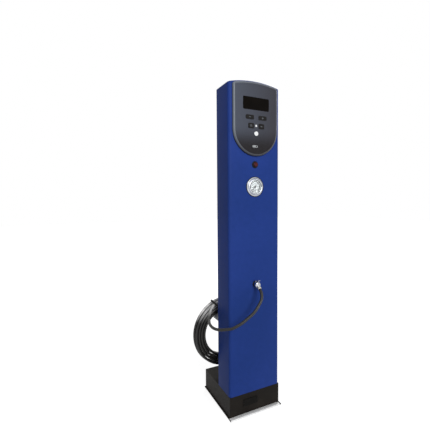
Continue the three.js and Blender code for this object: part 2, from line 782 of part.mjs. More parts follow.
function valveManifold() {
  const half = manifoldLength / 2;
  const y0 = plateBackY + gap;
  const body = block(-half, half, y0, y0 + manifoldSide, manifoldBottomZ, manifoldTopZ);
  const ports = join(
    portCollar(0, manifoldTopZ - 1, manifoldTopZ + 6, gaugeTubeDiameter),
    portCollar(-valveSpacing, manifoldBottomZ - 6, manifoldBottomZ + 1, airTubeDiameter),
    portCollar(0, manifoldBottomZ - 6, manifoldBottomZ + 1, airTubeDiameter),
  );
  return cut(
    join(body, ports),
    rod(gaugeTubeDiameter / 2 + gap, manifoldTopZ - 4, manifoldTopZ + 10, 0, manifoldY, 12),
    rod(airTubeDiameter / 2 + gap, manifoldBottomZ - 10, manifoldBottomZ + 4, -valveSpacing, manifoldY, 12),
    rod(airTubeDiameter / 2 + gap, manifoldBottomZ - 10, manifoldBottomZ + 4, 0, manifoldY, 12),
  );
}

const plungerLength = 22;

// local origin on the manifold's top
function solenoid() {
  const half = solenoidSide / 2;
  const tubeTop = plungerLength + plungerTravel + 12;
  const body = join(
    rod(7, gap, tubeTop, 0, 0, 16),
    block(-half, half, -half, half, 5, 5 + solenoidHeight),
    rod(4.5, tubeTop - 1, tubeTop + 5, 0, 0, 6),
    block(-5, 5, half - 1, half + 8, 12, 24),
  );
  return cut(body, rod(plungerRadius + gap, -1, plungerLength + plungerTravel + 2, 0, 0, 16));
}

function plunger() {
  return rod(plungerRadius, gap, gap + plungerLength, 0, 0, 16);
}

function pressureSensor() {
  const x0 = -manifoldLength / 2 - gap;
  const shape = turned([[0, 0], [9, 0], [9, 7], [7.5, 7.6], [7.5, 24], [4, 24], [4, 30], [0, 30]], 16);
  return shape.rotateY(-Math.PI / 2).translate(x0, manifoldY, manifoldBottomZ + manifoldHeight / 2);
}

function exhaustSilencer() {
  const top = manifoldBottomZ - gap;
  const shape = turned([[0, 0], [6.5, 0], [6.5, -5], [5.5, -6], [4.5, -16], [2, -20], [0, -20.5]], 12);
  return shape.translate(valveSpacing, manifoldY, top);
}

// a bulkhead fitting along Y: local z is out of the back cover, zero at the cover's outer face
function bulkhead(nose, sides = 12) {
  const inner = -sheet - gap;
  const bore = airTubeDiameter / 2 + gap;
  const body = turned([
    [bore, -24], [lockRadius, -24], [lockRadius, inner - 5], [10.5, inner - 5], [10.5, inner],
    [lockRadius, inner], [lockRadius, gap], [11.5, gap], [11.5, 6], ...nose,
    [3, nose[nose.length - 1][1]], [3, -12], [bore, -12], [bore, -24],
  ], sides);
  return body;
}

function facingBack(geometry, x, z) {
  return geometry.rotateX(-Math.PI / 2).translate(x, coverOuterY, z);
}

const outletNose = 25;

function outletFitting() {
  const nose = [[6, 6], [6, 8], [9, 8], [9, 10], [8.4, 11], [9, 12], [9, outletNose]];
  return facingBack(bulkhead(nose), outletX, outletZ);
}

function inletFitting() {
  const nose = [[6.5, 6], [6.5, 16], [4.5, 17], [4.5, 20], [6, 21.5], [6, 28]];
  return facingBack(bulkhead(nose), inletX, serviceZ);
}

function mainsGland() {
  const bore = mainsCableDiameter / 2 + gap;
  const profile = [
    [bore, -14], [lockRadius, -14], [lockRadius, -8], [11, -8], [11, -sheet - gap],
    [lockRadius, -sheet - gap], [lockRadius, gap], [11.5, gap], [11.5, 6], [10.5, 7], [10.5, 15],
    [8, 19], [bore, 20], [bore, -14],
  ];
  return facingBack(turned(profile, 14), glandX, serviceZ);
}

const innerTubeY = plateY - 10; // where the tubes run below the mounting plate
const tubeBend = 28;
const tubeStep = 2.75 * airTubeDiameter;

// the last bend of a tube, from straight down to straight back into its fitting
function bendToBack(x, z) {
  const end = coverOuterY - 12 - gap;
  const quarter = arc(innerTubeY + tubeBend, z + tubeBend, tubeBend, 180, 270, 5);
  const bend = quarter.map((point) => [x, point.x, point.y]);
  return [[x, innerTubeY, z + tubeBend + 30], ...bend, [x, end - 12, z], [x, end, z]];
}

function inletTube() {
  const top = manifoldBottomZ + 4 - gap;
  const side = -valveSpacing;
  return tube([
    [side, manifoldY, top], [side, manifoldY, top - 20], [side, manifoldY, manifoldBottomZ - 70],
    [side, manifoldY - 6, plateBottomZ + 20], [side + 8, innerTubeY, plateBottomZ - 100],
    [side + 30, innerTubeY, plateBottomZ - 250], [inletX - 20, innerTubeY, serviceZ + 170],
    ...bendToBack(inletX, serviceZ),
  ], airTubeDiameter, 6, tubeStep);
}

function outletTube() {
  const top = manifoldBottomZ + 4 - gap;
  return tube([
    [0, manifoldY, top], [0, manifoldY, top - 20], [0, manifoldY, manifoldBottomZ - 70],
    [5, manifoldY - 6, plateBottomZ + 40], [outletX - 48, innerTubeY + 6, plateBottomZ - 80],
    [outletX - 13, innerTubeY, outletZ + 125], ...bendToBack(outletX, outletZ),
  ], airTubeDiameter, 6, tubeStep);
}

function gaugeTube() {
  const front = frontY - stemEnd - 6 + gap;
  const bottom = manifoldTopZ - 4 + gap;
  const points = [[0, front, gaugeZ], [0, front + 8, gaugeZ], [0, manifoldY - 18, gaugeZ]];
  const quarter = arc(manifoldY - 18, gaugeZ - 18, 18, 90, 0, 5).slice(1);
  quarter.forEach((point) => points.push([0, point.x, point.y]));
  points.push([0, manifoldY, bottom + 12], [0, manifoldY, bottom]);
  return tube(points, gaugeTubeDiameter, 6, 8);
}

function powerSupply() {
  const y0 = plateBackY + gap;
  const half = supplyWidth / 2;
  const body = block(-half, half, y0, y0 + 30, supplyBottomZ, supplyBottomZ + supplyHeight);
  const terminals = block(-half + 4, half - 4, y0 + 6, y0 + 22, supplyBottomZ - 9, supplyBottomZ + 1);
  return join(body, terminals);
}

function mainsCable() {
  const inner = coverOuterY - 10;
  const bottom = supplyBottomZ - 9 - gap;
  const laneX = halfColumn - 19;
  const laneY = plateBackY + 20;
  const entryX = supplyWidth / 2 - 13;
  return tube([
    [glandX, inner, serviceZ], [glandX, inner - 28, serviceZ], [glandX + 3, inner - 44, serviceZ + 12],
    [laneX - 6, inner - 50, serviceZ + 50], [laneX, innerTubeY + 10, serviceZ + 110],
    [laneX, innerTubeY + 14, plateBottomZ - 200], [laneX, laneY - 6, plateBottomZ - 50],
    [laneX, laneY, plateBottomZ + 60], [laneX, laneY, bottom - 170], [laneX - 4, laneY, bottom - 80],
    [entryX + 48, laneY, bottom - 43], [entryX + 18, manifoldY, bottom - 39],
    [entryX, manifoldY, bottom - 14], [entryX, manifoldY, bottom],
  ], mainsCableDiameter, 6, hoseStep);
}

// ---- hose, hanger and chuck ----
const saddleRadius = coilRadius - coilPitch * coilTurns / 2 - hoseRadius - 0.8;
const saddleFarY = coilY + layerPitch / 2 + hoseRadius + 8;

function hoseHanger() {
  const y0 = coverOuterY + gap;
  const y1 = y0 + hangerPlateThickness;
  const plate = extrudedAlongY(roundedRectangle(70, 92, 6, coilX, hangerZ), y0, y1);
  const saddle = extrudedAlongY([
    ...arc(coilX, coilZ, saddleRadius, 50, 130, 10), ...arc(coilX, coilZ, saddleRadius - 3, 130, 50, 10),
  ], y1 - 1, saddleFarY);
  const lip = extrudedAlongY([
    ...arc(coilX, coilZ, saddleRadius + 26, 58, 122, 8), ...arc(coilX, coilZ, saddleRadius - 3, 130, 50, 10),
  ], saddleFarY - 3, saddleFarY);
  const webOutline = polygon([[y1 - 1, hangerZ - 42], [y1 - 1, coilZ + saddleRadius - 1],
    [saddleFarY - 4, coilZ + saddleRadius - 1], [saddleFarY - 4, coilZ + saddleRadius - 12]]);
  const web = extrudedAlongX(webOutline, coilX - 2, coilX + 2);
  const finger = tube([
    [coilX - 26, y1 - 1, hangerZ + 34], [coilX - 26, y1 + 6, hangerZ + 35],
    [coilX - 33, y1 + 13, hangerZ + 47], [coilX - 46, y1 + 17, hangerZ + 66],
    [coilX - 62, y1 + 22, hangerZ + 84],
    [coilX - 83, coilY - layerPitch / 2 - hoseRadius - fingerRadius - 2.5, hangerZ + 105],
  ], 2 * fingerRadius, 8, 11);
  const holes = hangerScrewPlaces.map(([x, z]) => alongY(2.3, y0 - 1, y1 + 1, x, z, 8));
  return cut(join(plate, saddle, lip, web, finger), ...holes);
}

// how far a turn is spread at an angle, as a factor of its distance from the middle turn
function spreadAt(angle, distance) {
  return 1 + coilSpread * (Math.max(0, -Math.sin(angle)) * distance / (coilPitch * coilTurns / 4)) ** 2;
}

// the middle line of the coil: in from the outer turn, across to the other layer, and out again
function coilPoints(stepsPerTurn) {
  const half = coilTurns / 2;
  const middle = coilRadius - coilPitch * coilTurns / 4;
  const count = Math.round(coilTurns * stepsPerTurn);
  const start = THREE.MathUtils.degToRad(coilStartAngle);
  const points = [];
  for (let i = 0; i <= count; i += 1) {
    const turn = coilTurns * i / count;
    const angle = start - 2 * Math.PI * turn;
    const distance = coilRadius - coilPitch * Math.min(turn, coilTurns - turn) - middle;
    const radius = middle + distance * spreadAt(angle, distance);
    const climb = THREE.MathUtils.smoothstep(turn, half - 0.25, half + 0.25);
    points.push(new THREE.Vector3(
      coilX + radius * Math.cos(angle),
      coilY - layerPitch / 2 + layerPitch * climb,
      coilZ + radius * Math.sin(angle),
    ));
  }
  return points;
}

// one closed tube through the points, its rings kept square to the path
function ringTube(points, radius, sides) {
  const across = new THREE.Vector3(0, 1, 0);
  const positions = [];
  points.forEach((point, i) => {
    const before = points[Math.max(i - 1, 0)];
    const after = points[Math.min(i + 1, points.length - 1)];
    const along = after.clone().sub(before).normalize();
    const side = across.clone().addScaledVector(along, -across.dot(along)).normalize();
    const up = along.clone().cross(side);
    for (let k = 0; k < sides; k += 1) {
      const angle = 2 * Math.PI * (k + 0.5) / sides;
      const corner = point.clone().addScaledVector(side, radius * Math.cos(angle));
      corner.addScaledVector(up, radius * Math.sin(angle));
      positions.push(corner.x, corner.y, corner.z);
    }
  });
  const faces = [];
  for (let i = 0; i + 1 < points.length; i += 1) {
    for (let k = 0; k < sides; k += 1) {
      const a = i * sides + k;
      const b = i * sides + (k + 1) % sides;
      faces.push(a, b, a + sides, b, b + sides, a + sides);
    }
  }
  for (let k = 1; k + 1 < sides; k += 1) {
    const last = (points.length - 1) * sides;
    faces.push(0, k + 1, k, last, last + k, last + k + 1);
  }
  const geometry = new THREE.BufferGeometry();
  geometry.setAttribute('position', new THREE.Float32BufferAttribute(positions, 3));
  geometry.setIndex(faces);
  return outward(geometry);
}

function coilEnds(points) {
  const first = points[0].clone().sub(points[1]).normalize();
  const last = points[points.length - 1].clone().sub(points[points.length - 2]).normalize();
  return { first, last };
}

const coilLine = coilPoints(24);
const ends = coilEnds(coilPoints(360));
const coilStart = coilLine[0].clone().addScaledVector(ends.first, hoseDiameter);
const coilFinish = coilLine[coilLine.length - 1].clone().addScaledVector(ends.last, hoseDiameter);

function hoseCoil() {
  return ringTube([coilStart, ...coilLine, coilFinish], hoseRadius, 6);
}

const chuckSlant = new THREE.Vector3(0, -1, -1).normalize();
const elbowCentre = new THREE.Vector3(0, frontY - chuckElbow, chuckZ);
const chuckOutlet = elbowCentre.clone().addScaledVector(chuckSlant, chuckFerruleEnd);

// the free stretch from the chuck, round the column's left side, to the coil
function runPoints() {
  const start = chuckOutlet.clone().addScaledVector(chuckSlant, gap);
  const finishPoint = coilStart.clone().addScaledVector(ends.first, gap);
  const approach = finishPoint.clone().addScaledVector(ends.first, hoseDiameter);
  const route = [
    [-2, -175, 531], [-9, -183, 515], [-23, -187, 497], [-40, -189, 477], [-57, -187, 461],
    [-77, -184, 447], [-98, -181, 433], [-118, -176, 422], [-137, -168, 412], [-155, -155, 407],
    [-170, -139, 402], [-181, -119, 398], [-187, -96, 396], [-188, -72, 397], [-184, -48, 401],
    [-174, -25, 408], [-161, -2, 419], [-144, 18, 431], [-122, 34, 442], [-99, 41, 451],
    [-76, 45, 459], [-53, 48, 463], [-30, 50, 464], [-9, 52, 459],
  ];
  const leaving = start.clone().addScaledVector(chuckSlant, hoseDiameter);
  return [start, leaving].map((point) => point.toArray()).concat(
    route, [approach, finishPoint].map((point) => point.toArray()));
}

// the last stretch, from the coil's top over to the outlet on the back cover
function tailPoints() {
  const start = coilFinish.clone().addScaledVector(ends.last, gap);
  const y0 = coverOuterY + outletNose + gap;
  return [
    start.toArray(), start.clone().addScaledVector(ends.last, hoseDiameter).toArray(),
    [-9, 69, 460], [8, 75, 457], [24, 82, 450], [39, 85, 440], [54, 83, 430], [68, 75, 420],
    [79, 62, 412], [86, 45, 407],
    [outletX, y0 + hoseDiameter, outletZ], [outletX, y0, outletZ],
  ];
}

function chuckBody() {
  const front = 3.6;
  const profile = [
    [pegRadius + gap, front], [8.5, front], [9.5, front + 1], [9.5, front + 6], [chuckBodyRadius, front + 8],
    [chuckBodyRadius, chuckBodyEnd - 3], [chuckBodyRadius - 3, chuckBodyEnd], [0, chuckBodyEnd],
    [0, pegLength + 2], [pegRadius + gap, pegLength + 2], [pegRadius + gap, front],
  ];
  const body = turned(profile, 20);
  const barb = rod(5.5, 0, 13, 0, 0, 12).rotateX(Math.PI / 4).translate(0, 0, chuckElbow);
  const ears = [-1, 1].map((s) => block(
    Math.min(s * 5, s * 7), Math.max(s * 5, s * 7), 8, 18, leverPivotOut - 3, leverPivotOut + 3));
  const pinHole = new THREE.CylinderGeometry(1.8, 1.8, 20, 8).rotateZ(Math.PI / 2);
  return cut(join(body, barb, ...ears), pinHole.translate(0, leverPivotUp, leverPivotOut));
}

function chuckLever() {
  const bottom = chuckBodyRadius + 0.7;
  const outline = polygon([
    [bottom, 5], [bottom, leverPivotOut + 1], [bottom + 2.4, 22], [bottom + 6, 34], [bottom + 8.2, 33.5],
    [bottom + 5.2, 22], [bottom + 4, leverPivotOut + 2], [bottom + 4, leverPivotOut - 2], [bottom + 2.4, 5],
  ]);
  const bar = extrudedAlongX(outline, -leverWidth / 2, leverWidth / 2);
  const pin = new THREE.CylinderGeometry(1.5, 1.5, 14, 8).rotateZ(Math.PI / 2);
  return join(bar, pin.translate(0, leverPivotUp, leverPivotOut));
}

function chuckFerrule() {
  const shape = turned([
    [5.8, 11.5], [8, 11.5], [8, 13], [7.5, 13.6], [8, 14.2], [8, chuckFerruleEnd], [2.5, chuckFerruleEnd],
    [2.5, chuckFerruleEnd - 5], [5.8, chuckFerruleEnd - 5], [5.8, 11.5],
  ], 14);
  return shape.rotateX(Math.PI / 4).translate(0, 0, chuckElbow);
}

function chuckHolder() {
  return turned([
    [0, -7], [3, -7], [3, gap], [12, gap], [12, 2.2], [11, 3.3], [pegRadius, 3.3], [pegRadius, pegLength - 1],
    [pegRadius - 1, pegLength], [0, pegLength],
  ], 16);
}

// ---- the assembly ----
const inflator = new THREE.Group();

add(inflator, 'base_plate', footPlate(), blackPaint);
add(inflator, 'kick_strip', kickStrip(), steel);
add(inflator, 'plinth_box', plinthBox(), blackPaint);
add(inflator, 'service_blank', serviceBlank(), blackPlastic);
add(inflator, 'column_shell', columnShell(), bluePaint);
add(inflator, 'top_cap', topCap(), bluePaint);
add(inflator, 'rear_cover', rearCover(), bluePaint);
add(inflator, 'service_door', serviceDoor(), bluePaint);
add(inflator, 'hinge_leaf', hingeLeaf(), steel);
add(inflator, 'hinge_rod', hingeRod(), steel);
add(inflator, 'lock_barrel', lockBarrel(), chrome);
add(inflator, 'lock_cam', lockCam(), steel);
add(inflator, 'mounting_plate', mountingPlate(), steel);

function frontGroup(z) {
  const group = new THREE.Group();
  group.position.set(0, frontY, z);
  group.rotation.x = Math.PI / 2;
  inflator.add(group);
  return group;
}

const panel = frontGroup(panelCentreZ);
add(panel, 'panel_bezel', panelBezel(), greyPlastic);
add(panel, 'display_window', plug(windowWidth, windowHeight, 5, panelFront - 0.4, flangeFront - 1), darkGlass,
  [0, windowRise, 0]);
const displaySide = windowWidth / 2 - 3.5;
const displayHeight = windowHeight - 8;
const displayLow = windowRise - displayHeight / 2;
const displayBox = block(-displaySide, displaySide, displayLow, displayLow + displayHeight,
  boardFront + gap, flangeFront - 1 - gap);
add(panel, 'display_module', displayBox, blackPlastic);
add(panel, 'control_board', controlBoard(), boardGreen);
for (const [name, x, y, width, height] of keyPlaces) {
  const cap = plug(width, height, 5, panelFront + keyProud, flangeFront - 1.2, tactTop + keyTravel + gap);
  add(panel, name, cap, blackPlastic, [x, y, 0]);
}
const startCap = roundPlug(startKeyDiameter, panelFront + keyProud + 0.5, flangeFront - 1.2,
  tactTop + keyTravel + gap, 1);
add(panel, 'start_key', startCap, whitePlastic, [0, startKeyRise, 0]);
const lampPlug = roundPlug(lampDiameter, panelFront + 1.6, boardFront + gap, 0, 1.4);
add(panel, 'indicator_lamp', lampPlug, whitePlastic, [0, lampRise, 0]);
const statusPlug = plug(statusWidth, statusHeight, 4.5, panelFront + 0.8, flangeFront - 1.2);
add(panel, 'status_lens', statusPlug, whitePlastic, [statusX, statusRise, 0]);
add(inflator, 'ribbon_cable', ribbonCable(), steel);

const panelSwitch = frontGroup(switchZ);
add(panelSwitch, 'switch_bezel', switchBezel(), blackPlastic);
add(panelSwitch, 'switch_button', switchButton(), redPlastic);
add(panelSwitch, 'switch_nut', switchNut(), blackPlastic);
add(panelSwitch, 'switch_block', switchBlock(), blackPlastic);

const gauge = frontGroup(gaugeZ);
add(gauge, 'gauge_flange', gaugeFlange(), chrome);
add(gauge, 'gauge_case', gaugeCase(), steel);
add(gauge, 'gauge_dial', gaugeDial(), whitePlastic);
add(gauge, 'gauge_pointer', gaugePointer(), blackPlastic);
add(gauge, 'gauge_lens', gaugeLens(), clearGlass);
add(gauge, 'gauge_movement', gaugeMovement(), brass);
add(gauge, 'gauge_clamp', gaugeClamp(), steel);

add(inflator, 'valve_manifold', valveManifold(), aluminium);
for (const [side, name] of [[-1, 'inflate'], [1, 'deflate']]) {
  const place = [side * valveSpacing, manifoldY, manifoldTopZ];
  add(inflator, `${name}_solenoid`, solenoid(), blackPlastic, place);
  add(inflator, `${name}_plunger`, plunger(), steel, place);
}
add(inflator, 'pressure_sensor', pressureSensor(), brass);
add(inflator, 'exhaust_silencer', exhaustSilencer(), brass);
add(inflator, 'inlet_fitting', inletFitting(), brass);
add(inflator, 'outlet_fitting', outletFitting(), brass);
add(inflator, 'mains_gland', mainsGland(), blackPlastic);
add(inflator, 'inlet_tube', inletTube(), blueTube);
add(inflator, 'outlet_tube', outletTube(), blueTube);
add(inflator, 'gauge_tube', gaugeTube(), blueTube);
add(inflator, 'power_supply', powerSupply(), aluminium);
add(inflator, 'mains_cable', mainsCable(), blackPlastic);

add(inflator, 'hose_hanger', hoseHanger(), blackPaint);
add(inflator, 'hose_tail', tube(tailPoints(), hoseDiameter, 10, hoseStep), hoseRubber);
add(inflator, 'hose_coil', hoseCoil(), hoseRubber);
add(inflator, 'hose_run', tube(runPoints(), hoseDiameter, 10, hoseStep), hoseRubber);

const chuck = frontGroup(chuckZ);
add(chuck, 'chuck_holder', chuckHolder(), blackPlastic);
add(chuck, 'chuck_body', chuckBody(), chrome);
add(chuck, 'chuck_lever', chuckLever(), chrome);
add(chuck, 'chuck_ferrule', chuckFerrule(), brass);

// the least gap of the coil to itself, and the hose's whole length
function leastCoilGap() {
  const line = coilPoints(72);
  const apart = 30;
  let least = Infinity;
  for (let i = 0; i < line.length; i += 1) {
    for (let j = i + apart; j < line.length; j += 1) least = Math.min(least, line[i].distanceTo(line[j]));
  }
  return least - hoseDiameter;
}

function lengthOf(points) {
  const vectors = points.map((point) => new THREE.Vector3(...point));
  return new THREE.CatmullRomCurve3(vectors, false, 'centripetal').getLength();
}

const coilLength = lengthOf(coilPoints(72).map((point) => point.toArray())) + 2 * hoseDiameter;
const hoseLength = lengthOf(runPoints()) + coilLength + lengthOf(tailPoints());
console.log(`least gap in the coil ${leastCoilGap().toFixed(2)} mm`);
console.log(`whole hose ${(hoseLength / 1000).toFixed(2)} m, coil ${(coilLength / 1000).toFixed(2)} m`);

export default inflator;
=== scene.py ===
# A floor-standing tyre inflator with gauge: the looks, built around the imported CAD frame.
# Metres, +Z up, -Y towards the user. The origin is the middle of the foot plate, on the floor.
import math

import bmesh
import bpy
import numpy as np
from mathutils import Matrix, Vector


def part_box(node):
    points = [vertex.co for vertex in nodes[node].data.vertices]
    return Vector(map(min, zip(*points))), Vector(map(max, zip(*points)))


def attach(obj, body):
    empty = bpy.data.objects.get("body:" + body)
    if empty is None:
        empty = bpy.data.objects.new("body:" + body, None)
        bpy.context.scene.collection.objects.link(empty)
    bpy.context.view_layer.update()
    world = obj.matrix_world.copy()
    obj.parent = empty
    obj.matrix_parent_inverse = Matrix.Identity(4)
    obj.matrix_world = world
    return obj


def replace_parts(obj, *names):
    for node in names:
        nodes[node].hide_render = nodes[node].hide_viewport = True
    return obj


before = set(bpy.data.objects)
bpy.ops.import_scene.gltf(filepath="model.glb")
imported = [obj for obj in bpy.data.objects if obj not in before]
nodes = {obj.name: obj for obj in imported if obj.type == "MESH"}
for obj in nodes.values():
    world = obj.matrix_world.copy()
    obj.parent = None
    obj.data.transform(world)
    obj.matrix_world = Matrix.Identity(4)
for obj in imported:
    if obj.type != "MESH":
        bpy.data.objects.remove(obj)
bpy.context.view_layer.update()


def middleZ(node):
    return sum(corner.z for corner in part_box(node)) / 2


# places that several pieces share, from the frame
gap = 0.0003  # what touching pieces keep between them
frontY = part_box("column_shell")[0].y
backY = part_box("rear_cover")[1].y
gaugeZ = middleZ("gauge_flange")
switchZ = middleZ("switch_bezel")
chuckZ = middleZ("chuck_holder")
chuckElbow = 0.023  # out of the column's front, where the chuck's hose end leaves its body
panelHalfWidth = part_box("panel_bezel")[1].x
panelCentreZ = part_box("panel_bezel")[0].z + panelHalfWidth

camera = {
    "place": (-0.71209, -1.22093, 0.92591),
    "yaw": 25.481,  # from +Y towards +X
    "pitch": -2.821,
    "roll": -0.437,
    "focalPixels": 306.12,
    "framePixels": 430,
    "sensor": 36,
    "farthest": 100,
}


def standAt(name, data, place, turn):
    obj = bpy.data.objects.new(name, data)
    obj.matrix_world = Matrix.Translation(place) @ turn.to_4x4()
    bpy.context.collection.objects.link(obj)
    return obj


def makeCamera(values):
    yaw, pitch, roll = (math.radians(values[key]) for key in ("yaw", "pitch", "roll"))
    forward = Vector((math.sin(yaw) * math.cos(pitch), math.cos(yaw) * math.cos(pitch), math.sin(pitch)))
    level = Vector((math.cos(yaw), -math.sin(yaw), 0))
    upright = level.cross(forward)
    right = level * math.cos(roll) + upright * math.sin(roll)
    up = upright * math.cos(roll) - level * math.sin(roll)
    data = bpy.data.cameras.new("camera")
    data.sensor_width = values["sensor"]
    data.lens = data.sensor_width * values["focalPixels"] / values["framePixels"]
    data.clip_end = values["farthest"]
    turn = Matrix((right, up, -forward)).transposed()
    bpy.context.scene.camera = standAt("camera", data, values["place"], turn)


makeCamera(camera)
bpy.context.scene.view_settings.view_transform = "Standard"
print("camera placed")


# a socket takes what another node puts out, or a value of its own
def feed(tree, socket, value):
    if isinstance(value, bpy.types.NodeSocket):
        tree.links.new(value, socket)
    else:
        socket.default_value = value


def feedAll(tree, sockets, values):
    for key, value in values.items():
        feed(tree, sockets[key], value)


def addNode(tree, kind, inputs=None, **settings):
    node = tree.nodes.new(kind)
    for key, value in settings.items():
        setattr(node, key, value)
    feedAll(tree, node.inputs, inputs or {})
    return node


def mathOf(tree, operation, first, second=0.0, clamp=False):
    inputs = {0: first, 1: second}
    return addNode(tree, "ShaderNodeMath", inputs, operation=operation, use_clamp=clamp).outputs[0]


def productOf(tree, first, *factors):
    for factor in factors:
        first = mathOf(tree, "MULTIPLY", first, factor)
    return first


def noiseOf(tree, vector, scale, detail=3.0, roughness=0.5):
    inputs = {"Vector": vector, "Scale": scale, "Detail": detail, "Roughness": roughness}
    return addNode(tree, "ShaderNodeTexNoise", inputs).outputs["Fac"]


def rangeOf(tree, value, low, high, toLow=0.0, toHigh=1.0, smooth=False):
    inputs = {"Value": value, "From Min": low, "From Max": high, "To Min": toLow, "To Max": toHigh}
    style = "SMOOTHSTEP" if smooth else "LINEAR"
    return addNode(tree, "ShaderNodeMapRange", inputs, interpolation_type=style).outputs["Result"]


def objectPlace(tree):
    return tree.nodes.new("ShaderNodeTexCoord").outputs["Object"]


def axesOf(tree, vector):
    return addNode(tree, "ShaderNodeSeparateXYZ", {0: vector}).outputs


def vectorOf(tree, *parts):
    return addNode(tree, "ShaderNodeCombineXYZ", dict(enumerate(parts))).outputs[0]


socketKinds = {int: "Int", float: "Float", tuple: "Vector"}


# a node tree whose inputs and outputs are each given by a first value, or by the word for their kind
def newTree(name, kind, inputs, outputs):
    tree = bpy.data.node_groups.new(name, kind)
    for way, sockets in (("INPUT", inputs), ("OUTPUT", outputs)):
        for label, value in sockets.items():
            word = value if isinstance(value, str) else socketKinds[type(value)]
            socket = tree.interface.new_socket(label, in_out=way, socket_type="NodeSocket" + word)
            if word != value:
                socket.default_value = value
    return tree, tree.nodes.new("NodeGroupInput").outputs, tree.nodes.new("NodeGroupOutput").inputs


# broad cloudy tone and fine grain over a surface
def makeMottle():
    outputs = {"Tone": "Float", "Grain": "Float"}
    tree, given, result = newTree("mottle", "ShaderNodeTree", {"Scale": 8.0}, outputs)
    place = objectPlace(tree)
    broad = noiseOf(tree, place, given["Scale"], detail=2.0)
    fine = noiseOf(tree, place, productOf(tree, given["Scale"], 14.0), detail=4.0, roughness=0.6)
    mixed = mathOf(tree, "ADD", productOf(tree, broad, 0.75), productOf(tree, fine, 0.25))
    feed(tree, result["Tone"], rangeOf(tree, mixed, 0.36, 0.64))
    feed(tree, result["Grain"], rangeOf(tree, fine, 0.3, 0.7))
    return tree


# relief for a Bump node: stretched along an axis it reads as brushing, even it is orange peel or grain
def makeRelief():
    inputs = {"Scale": 300.0, "Stretch": (1.0, 1.0, 1.0)}
    tree, given, result = newTree("relief", "ShaderNodeTree", inputs, {"Height": "Float"})
    parts = {0: objectPlace(tree), 1: given["Stretch"]}
    stretched = addNode(tree, "ShaderNodeVectorMath", parts, operation="MULTIPLY").outputs["Vector"]
    feed(tree, result["Height"], noiseOf(tree, stretched, given["Scale"], detail=2.0, roughness=0.55))
    return tree


# dust that lies thickest near the floor, broken up by noise
def makeDust():
    tree, given, result = newTree("dust", "ShaderNodeTree", {"Reach": 0.1, "Amount": 0.3}, {"Mask": "Float"})
    place = objectPlace(tree)
    low = rangeOf(tree, axesOf(tree, place)["Z"], 0.0, given["Reach"], 1.0, 0.0, smooth=True)
    patches = rangeOf(tree, noiseOf(tree, place, 22.0, detail=5.0, roughness=0.65), 0.38, 0.66)
    feed(tree, result["Mask"], productOf(tree, low, patches, given["Amount"]))
    return tree


groups = {"mottle": makeMottle(), "relief": makeRelief(), "dust": makeDust()}


def useGroup(tree, name, **values):
    return addNode(tree, "ShaderNodeGroup", values, node_tree=groups[name]).outputs


def colour(code):
    channels = [int(code[i:i + 2], 16) / 255 for i in (1, 3, 5)]
    return [c / 12.92 if c <= 0.04045 else ((c + 0.055) / 1.055) ** 2.4 for c in channels] + [1.0]


def blended(tree, factor, first, second):
    return addNode(tree, "ShaderNodeMix", {0: factor, 6: first, 7: second}, data_type="RGBA").outputs[2]


# a material, its tree and its shader's inputs
def newMaterial(name):
    material = bpy.data.materials.new(name)
    material.use_nodes = True
    return material, material.node_tree, material.node_tree.nodes["Principled BSDF"].inputs


def addBump(tree, shader, height, strength, depth):
    bump = addNode(tree, "ShaderNodeBump", {"Strength": strength, "Distance": depth, "Height": height})
    feed(tree, shader["Normal"], bump.outputs["Normal"])


def addRelief(tree, shader, size, stretch, strength, depth):
    height = useGroup(tree, "relief", Scale=size, Stretch=stretch)["Height"]
    addBump(tree, shader, height, strength, depth)


def makeFinish(name, dark, light, roughness, spread, scale, metallic=0, specular=0.5, relief=None, dust=None):
    material, tree, shader = newMaterial(name)
    mottle = useGroup(tree, "mottle", Scale=scale)
    base = blended(tree, mottle["Tone"], colour(dark), colour(light))
    rough = rangeOf(tree, mottle["Grain"], 0.0, 1.0, roughness - spread, roughness + spread)
    if dust:
        mask = useGroup(tree, "dust", Reach=dust["reach"], Amount=dust["amount"])["Mask"]
        base = blended(tree, mask, base, colour(dust["colour"]))
        rough = mathOf(tree, "ADD", rough, productOf(tree, mask, dust["rougher"]), clamp=True)
    feedAll(tree, shader, {"Base Color": base, "Roughness": rough, "Metallic": metallic,
                           "Specular IOR Level": specular})
    if relief:
        addRelief(tree, shader, *relief)
    return material


even = (1.0, 1.0, 1.0)
alongX = (0.06, 1.0, 1.0)
alongZ = (1.0, 1.0, 0.06)
alongRibbon = (1.0, 0.04, 0.04)
floorDust = {"reach": 0.08, "amount": 0.16, "colour": "#4a443c", "rougher": 0.4}

